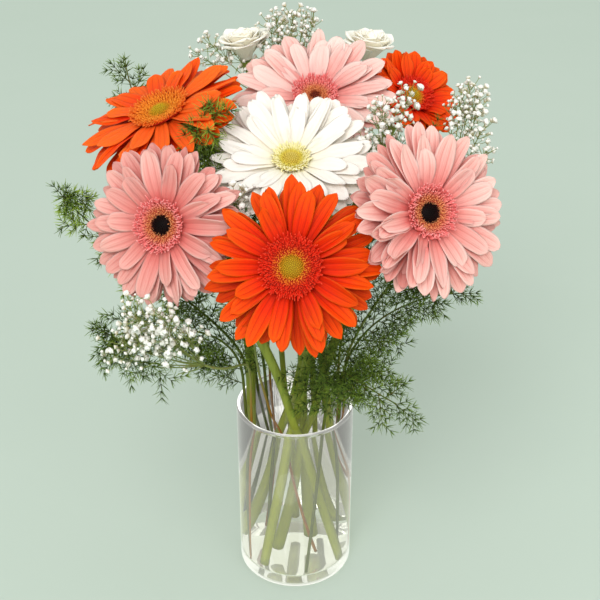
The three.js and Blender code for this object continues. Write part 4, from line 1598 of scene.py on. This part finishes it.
@dataclass(frozen=True)
class Fern:
    """A frond: a wiry stem whose last part carries twigs to both sides, with tufts of needles."""

    name: str
    line: Stem
    bend: Point  # the last handle of the stem's curve, and its end
    tip: Point
    bare: float  # share of the stem below its first twig
    twigs: int  # on each side
    spread: float  # length of the longest
    face: Point  # the way that the frond faces
    order: int
    fresh: float = 0.0  # how much of it is young and bright
    needle: float = 8.6  # its length
    extra: tuple[Point, ...] = ()  # ends of twigs that rise from its tip
    stem_radius: float = 1.2
    twig_radius: float = 0.45
    small_radius: float = 0.28
    small_twigs: int = 7  # on each main twig
    gap: float = 5.5  # between the tufts of a main twig
    small_gap: float = 4.6
    spokes: int = 7  # needles of a tuft

    def main_twigs(self, path: Array) -> Twigs:
        """Sets out the main twigs on the stem, to one side and the other in turn.

        Args:
            path: the stem's points.

        Returns:
            The twigs.
        """
        count = 2 * self.twigs + 2
        share = np.arange(count) / (count - 1)
        root, along = on_path(path, (self.bare + (1 - self.bare) * 0.97 * share) * (len(path) - 1))
        face = unit(np.array(self.face))
        lot = draw(20000 + 500 * self.order + 20 * np.arange(count) + np.arange(3)[:, None])
        forward, longer, swung = lot
        side = unit(np.cross(along, face)) * np.where(np.arange(count) % 2, 1.0, -1.0)[:, None]
        turn = np.radians(50 + 16 * swung)[:, None]
        turn[-1] = 0.0
        way = along * np.cos(turn) + side * np.sin(turn) + face * 0.6 * forward[:, None]
        return Twigs(root, unit(way), self.spread * (1 - 0.45 * share) * (1 + 0.25 * longer))

    def side_twigs(self, main: Twigs) -> Twigs:
        """Sets out small twigs to both sides of each main twig, shorter towards its end.

        Args:
            main: the main twigs.

        Returns:
            The small twigs.
        """
        k = np.arange(self.small_twigs)
        share = (k + 1.0) / (self.small_twigs + 0.6)
        seed = 60000 + 500 * self.order + 37 * np.arange(len(main.root))[:, None] + k
        face = unit(np.array(self.face))
        side = unit(np.cross(main.way, face))[:, None] * np.where(k % 2, 1.0, -1.0)[:, None]
        way = unit(main.way[:, None] * 0.75 + side * 0.8 + face * 0.7 * each(draw(seed), 1))
        length = main.length[:, None] * 0.46 * (1 - 0.5 * share) * (1 + 0.35 * draw(seed + 0.5))
        return Twigs(main.at(share).reshape(-1, 3), way.reshape(-1, 3), length.ravel())

    def tufts(self, mould: Mould, crowd: Crowd, twigs: Twigs, gap: float, seed: int) -> None:
        """Sets a tuft of needles every `gap` millimetres on twigs, where they are clear of blooms.

        A needle runs from its node along the twig and outward, at even turns round it. The needles
        of some twigs are young.

        Args:
            mould: where the needles go.
            crowd: the room that blooms take up.
            twigs: the twigs.
            gap: distance between tufts.
            seed: first of the draws.
        """
        most = max(2, int(np.ceil(twigs.length.max() / gap)))
        place, number, spoke = np.arange(most), np.arange(len(twigs.root)), np.arange(self.spokes)
        share = (place + 0.75) * gap / twigs.length[:, None]
        used = share < 1.0 + 0.4 * gap / twigs.length[:, None]
        share = np.minimum(share, 1.0)
        serial = seed + each(number) * 211 + place[:, None] * 13 + spoke
        shifted, leant, longer, toned = draw(serial + 0.25 * np.arange(4)[:, None, None, None])
        out = round_about(twigs.way, 2 * np.pi * spoke / self.spokes + 0.9 * place[:, None] + 0.4 * shifted)
        reach = self.needle * each(1 - 0.35 * share, 1) * (1 + 0.25 * longer)
        lean = 0.75 + 0.45 * leant + 0.5 * each(share > 0.95, 1)
        ray = unit(out * 0.85 + twigs.way[:, None, None] * each(lean, 1)) * each(reach, 1)
        start = np.broadcast_to(twigs.at(share)[:, :, None], ray.shape)
        young = each(np.clip(self.fresh + 0.9 * draw(seed + 0.4 + number) - 0.35, 0.0, 1.0))
        kept = np.broadcast_to(each(used, 1), reach.shape)
        parts = (start, ray, 0.5 + 0.5 * toned, np.broadcast_to(young, reach.shape))
        start, ray, tone, young = (part[kept] for part in parts)
        clear = crowd.is_clear(start + ray, 0.8) & crowd.is_clear(start + 0.5 * ray, 0.8)
        shape, values = needles(start[clear], ray[clear], tone[clear], young[clear])
        mould.add(shape, **values)

    def build(self, crowd: Crowd) -> bpy.types.Object:
        """Builds the frond: stem, twigs, small twigs and needles.

        Args:
            crowd: the room that blooms take up.

        Returns:
            The piece.
        """
        mould = Mould()
        path = spaced(self.line.path(np.array(self.bend), np.array(self.tip)), 90)
        taper = 1 - 0.6 * smooth(0.4, 1.0, np.linspace(0, 1, 90))
        stem = tubes(path[None], self.stem_radius * taper, 8)
        mould.strand(path, stem, 200.0, paint=1, tone=0.3, along=0.4)
        main = self.main_twigs(path).trimmed(crowd).forked(path[-1], self.extra)
        small = self.side_twigs(main).trimmed(crowd)
        main.add_to(mould, self.twig_radius)
        small.add_to(mould, self.small_radius)
        self.tufts(mould, crowd, main, self.gap, 100000 + 9000 * self.order)
        self.tufts(mould, crowd, small, self.small_gap, 200000 + 9000 * self.order)
        return mould.cast(f"{self.name}_frond", [NEEDLE_GREEN, TWIG_GREEN])


FERNS = (
    Fern(
        "fern_low_right", Stem((8, -35), (22, -31)), (34, -70, 220), (70, -84, 206),
        0.58, 9, 36, (0, -0.6, 0.8), 0,
    ),
    Fern(
        "fern_right", Stem((27, -12), (34, -14)), (62, -30, 256), (108, -50, 274),
        0.52, 11, 32, (0, -0.7, 0.7), 1,
        extra=(
            (39, -10, 335), (62, 30, 350), (54, 26, 346), (52, -16, 318), (44, -4, 326), (34, -14, 328),
            (60, -14, 302), (50, -24, 292), (64, -24, 306), (58, -30, 284), (68, 22, 342), (74, 34, 352),
        ),
    ),
    Fern(
        "fern_low_left", Stem((-31, -15), (-38, -8)), (-70, -24, 238), (-126, -56, 244),
        0.54, 10, 34, (0, -0.6, 0.8), 2,
        extra=((-120, -84, 238), (-100, -90, 230), (-82, -84, 224), (-134, -72, 230), (-136, -66, 256)),
    ),
    Fern(
        "fern_left", Stem((-23, 27), (-36, 14)), (-112, -2, 262), (-158, -16, 330),
        0.62, 8, 25, (-0.5, -0.7, 0.5), 3, 0.8,
        extra=((-148, -30, 338), (-144, -28, 322), (-154, -30, 328), (-140, -26, 332)),
    ),
    Fern(
        "fern_back_left", Stem((-18, 34), (-30, 22)), (-112, 96, 290), (-124, 86, 388),
        0.7, 7, 26, (-0.4, -0.8, 0.4), 4,
    ),
    Fern(
        "fern_centre", Stem((-14, 10), (-22, 6)), (-54, 26, 330), (-60, 5, 368),
        0.6, 8, 24, (0.3, -0.7, 0.6), 5, 0.9, 12.0,
        (
            (-50, -12, 392), (-64, -24, 378), (-74, -22, 368), (-44, -6, 386), (-56, -28, 384),
            (-60, -10, 392), (-56, -20, 352), (-66, -16, 356), (-27, -20, 319), (-37, -15, 324),
            (-18, -28, 308), (-30, -26, 312), (-22, -14, 322), (-42, -22, 318),
        ),
    ),
    Fern(
        "fern_back", Stem((10, 36), (4, 36)), (10, 112, 250), (12, 150, 330),
        0.56, 8, 32, (0, 0.8, 0.6), 6,
    ),
)


# ---------------------------------------------------------------- baby's breath

# A floret's outline from below: its radius and height as shares of its size, and its lobes' depth.
WIDE = np.array([0.22, 0.55, 0.92, 1.0, 0.82, 0.6, 0.22])
HIGH = np.array([-0.9, -0.6, -0.1, 0.25, 0.42, 0.74, 0.84])
LOBES = np.array([0.0, 0.08, 0.2, 0.28, -0.26, -0.3, -0.1])
WHORLS = np.array([21.0, 16.0, 11.5, 7.5, 3.5, 0.5])  # how far before a branch's end stalks stand


@dataclass(frozen=True)
class Breath:
    """A spray of baby's breath: a wiry stem, a fork, branches, and puffed florets on stalks."""

    name: str
    line: Stem
    fork: Point  # where the branches begin
    order: int
    bloom: float  # radius of a floret
    stalk: float  # its stalk's length
    heads: tuple[Point, ...]  # ends of the branches that the stem leans to, and of the others
    extra: tuple[Point, ...] = ()
    thin: float = 0.0  # height below which florets get fewer
    spokes: int = 5  # stalks of a whorl
    stem_radius: float = 0.95

    def stalks(self, fork: Array, ends: Array, crowd: Crowd) -> tuple[Array, Array]:
        """Chooses where florets stand round the last part of each branch.

        Whorls of stalks stand every few millimetres before a branch's end, leaning on along it,
        and a floret is kept where it is clear of the blooms and of every floret before it. Below
        the height `thin` a soft step of its height decides how many are drawn.

        Args:
            fork: where the branches begin.
            ends: the branches' ends.
            crowd: the room that blooms take up.

        Returns:
            Roots and tips of the kept stalks.
        """
        way = unit(ends - fork)
        whorl, spoke = np.arange(len(WHORLS))[:, None], np.arange(self.spokes)
        seed = 40000 + 1000 * self.order + each(np.arange(len(ends))) * 90 + whorl * 9 + spoke
        out = round_about(way, 2 * np.pi * spoke / self.spokes + 0.7 * whorl + 0.4 * draw(seed))
        lean = 0.75 + 0.45 * draw(seed + 0.3) + 0.8 * (WHORLS < 2)[:, None]
        reach = self.stalk * (1 + 0.5 * draw(seed + 0.6))
        root = ends[:, None] - way[:, None] * WHORLS[:, None]
        root = np.broadcast_to(root[:, :, None], out.shape)
        tip = root + unit(out + way[:, None, None] * each(lean, 1)) * each(reach, 1)
        root, tip = root.reshape(-1, 3), tip.reshape(-1, 3)
        clear = crowd.is_clear(tip, self.bloom + 0.7) & crowd.is_clear(0.5 * (root + tip), 0.8)
        clear &= draw(seed.ravel() + 0.15) < 2.6 * smooth(self.thin - 45.0, self.thin, tip[:, 2]) - 1.2
        root, tip = root[clear], tip[clear]
        kept: list[int] = []
        for k in range(len(tip)):
            if all(np.linalg.norm(tip[k] - tip[j]) > 2.0 * self.bloom for j in kept):
                kept.append(k)
        return root[kept], tip[kept]

    def puffs(self, mould: Mould, tip: Array, way: Array, seed: int) -> None:
        """Adds a floret at each tip: a lobed cup that turns over its lip to a lobed middle.

        A ring's radius is the outline's times 1 plus a cosine of five lobes, whose depth is
        greatest at the lip and turned about within it, plus a draw for each corner.

        Args:
            mould: where they go.
            tip: the stalks' tips.
            way: the stalks' directions.
            seed: first of the draws.
        """
        angle = ring_angles(10)
        number = seed + np.arange(len(tip))
        size = self.bloom * (0.95 + 0.45 * draw(number))
        lobe = np.cos(5 * angle)
        ring = np.arange(len(WIDE))[:, None]
        jag = 0.42 * draw(each(number) * 7.7 + ring * 10 + np.arange(len(angle)))
        radius = each(size) * WIDE[:, None] * (1 + lobe * LOBES[:, None] + jag)
        height = each(size) * (HIGH + 0.12 * lobe[:, None] * (np.abs(LOBES) > 0.2)).T
        out = round_about(way, angle + 3.0 * draw(number + 0.5)[:, None])
        rings = tip[:, None, None] + each(radius, 1) * out[:, None] + each(height, 1) * way[:, None, None]
        ends = tip[:, None] + way[:, None] * np.array([-0.95, 0.55])[:, None] * each(size)
        along = np.linspace(0.0, 1.0, len(WIDE))[:, None]
        mould.add((rings, ends), along=along, tone=each(0.5 + 0.5 * draw(number + 0.2)))

    def build(self, crowd: Crowd) -> bpy.types.Object:
        """Builds the spray: stem, branches, stalks and florets. What branches sags by a half sine.

        Args:
            crowd: the room that blooms take up.

        Returns:
            The piece.
        """
        fork = np.array(self.fork, float)
        ends = np.array(self.heads + self.extra, float)
        toward = unit(np.array(self.heads, float).mean(0) - fork)
        mould = Mould()
        path = spaced(self.line.path(fork - toward * 35, fork), 80)
        stem = tubes(path[None], self.stem_radius, 8)
        mould.strand(path, stem, 200.0, paint=1, tone=0.3, along=0.5)
        t = np.linspace(0.0, 1.0, 9)
        sag = 0.04 * np.linalg.norm(ends - fork, axis=1)
        branches = fork + (ends - fork)[:, None] * t[:, None] - UP * each(np.sin(np.pi * t), 1) * each(sag)
        mould.add(tubes(branches, 0.5 - 0.2 * t, 5), paint=1, tone=0.2, along=0.7)
        root, tip = self.stalks(fork, ends, crowd)
        t = np.linspace(0.0, 1.0, 5)
        lines = root[:, None] + (tip - root)[:, None] * t[:, None] - UP * each(0.8 * np.sin(np.pi * t), 1)
        mould.add(tubes(lines, 0.26 - 0.06 * t, 4), paint=1, along=0.9, tone=0.1)
        self.puffs(mould, tip, unit(tip - root), 50000 + 700 * self.order)
        return mould.cast(f"{self.name}_spray", [PUFF_WHITE, STALK_GREEN])


SPRAYS = (
    Breath(
        "babys_breath_low_left", Stem((-33, -20), (-33, -18)), (-62, -66, 226), 0, 1.6, 12.0,
        ((-114, -84, 254), (-95, -88, 274), (-88, -84, 244), (-70, -90, 262), (-106, -76, 232)),
        (
            (-120, -78, 240), (-78, -86, 232), (-102, -90, 262), (-84, -92, 268),
            (-104, -95, 284), (-86, -99, 286),
        ),
        thin=268.0,
    ),
    Breath(
        "babys_breath_back_left", Stem((-14, 24), (-20, 32)), (-8, 118, 345), 1, 1.5, 7.5,
        ((-19, 132, 407), (-2, 134, 413), (14, 134, 408), (-64, 118, 396)),
        (
            (-28, 130, 400), (-10, 133, 405), (6, 134, 404), (-14, 134, 411),
            (8, 134, 412), (-48, 122, 390), (-72, 116, 388),
        ),
    ),
    Breath(
        "babys_breath_top_right", Stem((34, 18), (34, 18)), (64, 26, 320), 2, 1.8, 9.0,
        ((60, 12, 384), (78, 26, 386)), ((48, 8, 362), (54, 2, 350), (68, 18, 376), (58, 16, 370)),
    ),
    Breath(
        "babys_breath_right", Stem((37, -4), (38, 6)), (112, 44, 300), 3, 1.6, 8.0,
        ((122, 68, 372), (134, 66, 364), (138, 40, 340)),
        ((128, 72, 376), (116, 66, 366), (134, 70, 374), (126, 64, 358), (136, 54, 352)),
    ),
    Breath(
        "babys_breath_centre", Stem((12, -4), (-20, -12)), (-33, -33, 296), 4, 2.0, 9.0, ((-38, -58, 348),),
    ),
)


# ---------------------------------------------------------------- the studio


@dataclass(frozen=True)
class Studio:
    """The floor, the light and the camera. Lengths here are in metres, and the image's in pixels."""

    floor_size: float = 14.0
    floor_height: float = -0.0002
    floor_colour: str = "bfcdc1"
    sky_colour: str = "f4f8f4"
    sky_strength: float = 0.78
    bunch: Point = (0.0, 0.0, 0.28)  # what the lamps are aimed at
    camera_at: Point = (0.0039, -0.744, 0.663)
    pitch: float = 29.6
    focal: float = 1166.0
    image: float = 600.0
    sensor: float = 0.036

    def lay_floor(self) -> None:
        """Lays one level square just under the vase."""
        half = 0.5 * self.floor_size
        corners = [(x * half, y * half, self.floor_height) for x, y in ((-1, -1), (1, -1), (1, 1), (-1, 1))]
        mesh = bpy.data.meshes.new("floor")
        mesh.from_pydata(corners, [], [(0, 1, 2, 3)])
        mesh.materials.append(GroundFinish("floor_paper", self.floor_colour).make())
        floor = put("floor", mesh)

    def light_sky(self) -> None:
        """Lights the room with an even pale sky."""
        world = bpy.data.worlds.new("studio_air")
        world.use_nodes = True
        back = world.node_tree.nodes["Background"]
        back.inputs["Color"].default_value = paint(self.sky_colour)
        back.inputs["Strength"].default_value = self.sky_strength
        bpy.context.scene.world = world

    def hang(self, name: str, kind: str, place: Point, power: float, **settings: Union[str, float]) -> None:
        """Hangs a lamp that shines at the middle of the bunch.

        Args:
            name: its name.
            kind: its kind.
            place: where it hangs.
            power: its power, in watts, or the sun's in watts to a square metre.
            settings: its other settings.
        """
        light = bpy.data.lights.new(name, kind)
        light.energy = power
        for key, value in settings.items():
            setattr(light, key, value)
        lamp = put(name, light)
        lamp.location = place
        way = Vector(self.bunch) - lamp.location
        lamp.rotation_euler = way.to_track_quat("-Z", "Y").to_euler()
        mirrored = kind == "SUN"  # the outlines of the others would show in the glass
        lamp.visible_glossy = lamp.visible_transmission = mirrored

    def aim_camera(self) -> None:
        """Sets the camera level sideways, looking along +Y and down."""
        data = bpy.data.cameras.new("camera")
        data.sensor_width = self.sensor / METRES
        data.lens = self.focal / self.image * data.sensor_width
        camera = put("camera", data)
        camera.location = self.camera_at
        camera.rotation_euler = (np.radians(90.0 - self.pitch), 0.0, 0.0)
        bpy.context.scene.camera = camera

    def build(self) -> None:
        """Sets up the whole studio, and shows colours as they are."""
        self.lay_floor()
        self.light_sky()
        self.hang("window_light", "SUN", (-0.22, -0.85, 1.18), 1.1, angle=np.radians(40.0))
        self.hang("key_lamp", "AREA", (-0.5, -1.5, 1.5), 10.0, shape="SQUARE", size=1.0)
        self.hang("fill_lamp", "AREA", (1.1, -1.3, 1.0), 6.0, shape="SQUARE", size=1.2)
        self.aim_camera()
        bpy.context.scene.view_settings.view_transform = "Standard"


def settle(piece: bpy.types.Object, node: str) -> None:
    """Makes a piece ride on the body and has it stand for its node.

    Args:
        piece: the piece.
        node: the solid that it replaces.
    """
    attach(piece, "root")
    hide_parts(node)
    log.info("%s stands for %s: %d faces", piece.name, node, len(piece.data.polygons))


def main() -> None:
    """Builds the studio, the vase and the bunch."""
    logging.basicConfig(level=logging.INFO, format="%(message)s")
    Studio().build()
    vase = Vase()
    settle(vase.build(), "vase")
    settle(vase.fill(), "water")
    crowd = Crowd()
    for flower in GERBERAS:
        settle(flower.petals(crowd), f"{flower.name}_petals")
        settle(flower.florets(), f"{flower.name}_florets")
        settle(flower.buds(), f"{flower.name}_eye")
        settle(flower.stem(), f"{flower.name}_stem")
    for rose in ROSES:
        settle(rose.petals(crowd), f"{rose.name}_petals")
        settle(rose.stem(), f"{rose.name}_stem")
    for fern in FERNS:
        settle(fern.build(crowd), fern.name)
    for spray in SPRAYS:
        settle(spray.build(crowd), spray.name)
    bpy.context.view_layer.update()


if __name__ == "__main__":
    main()
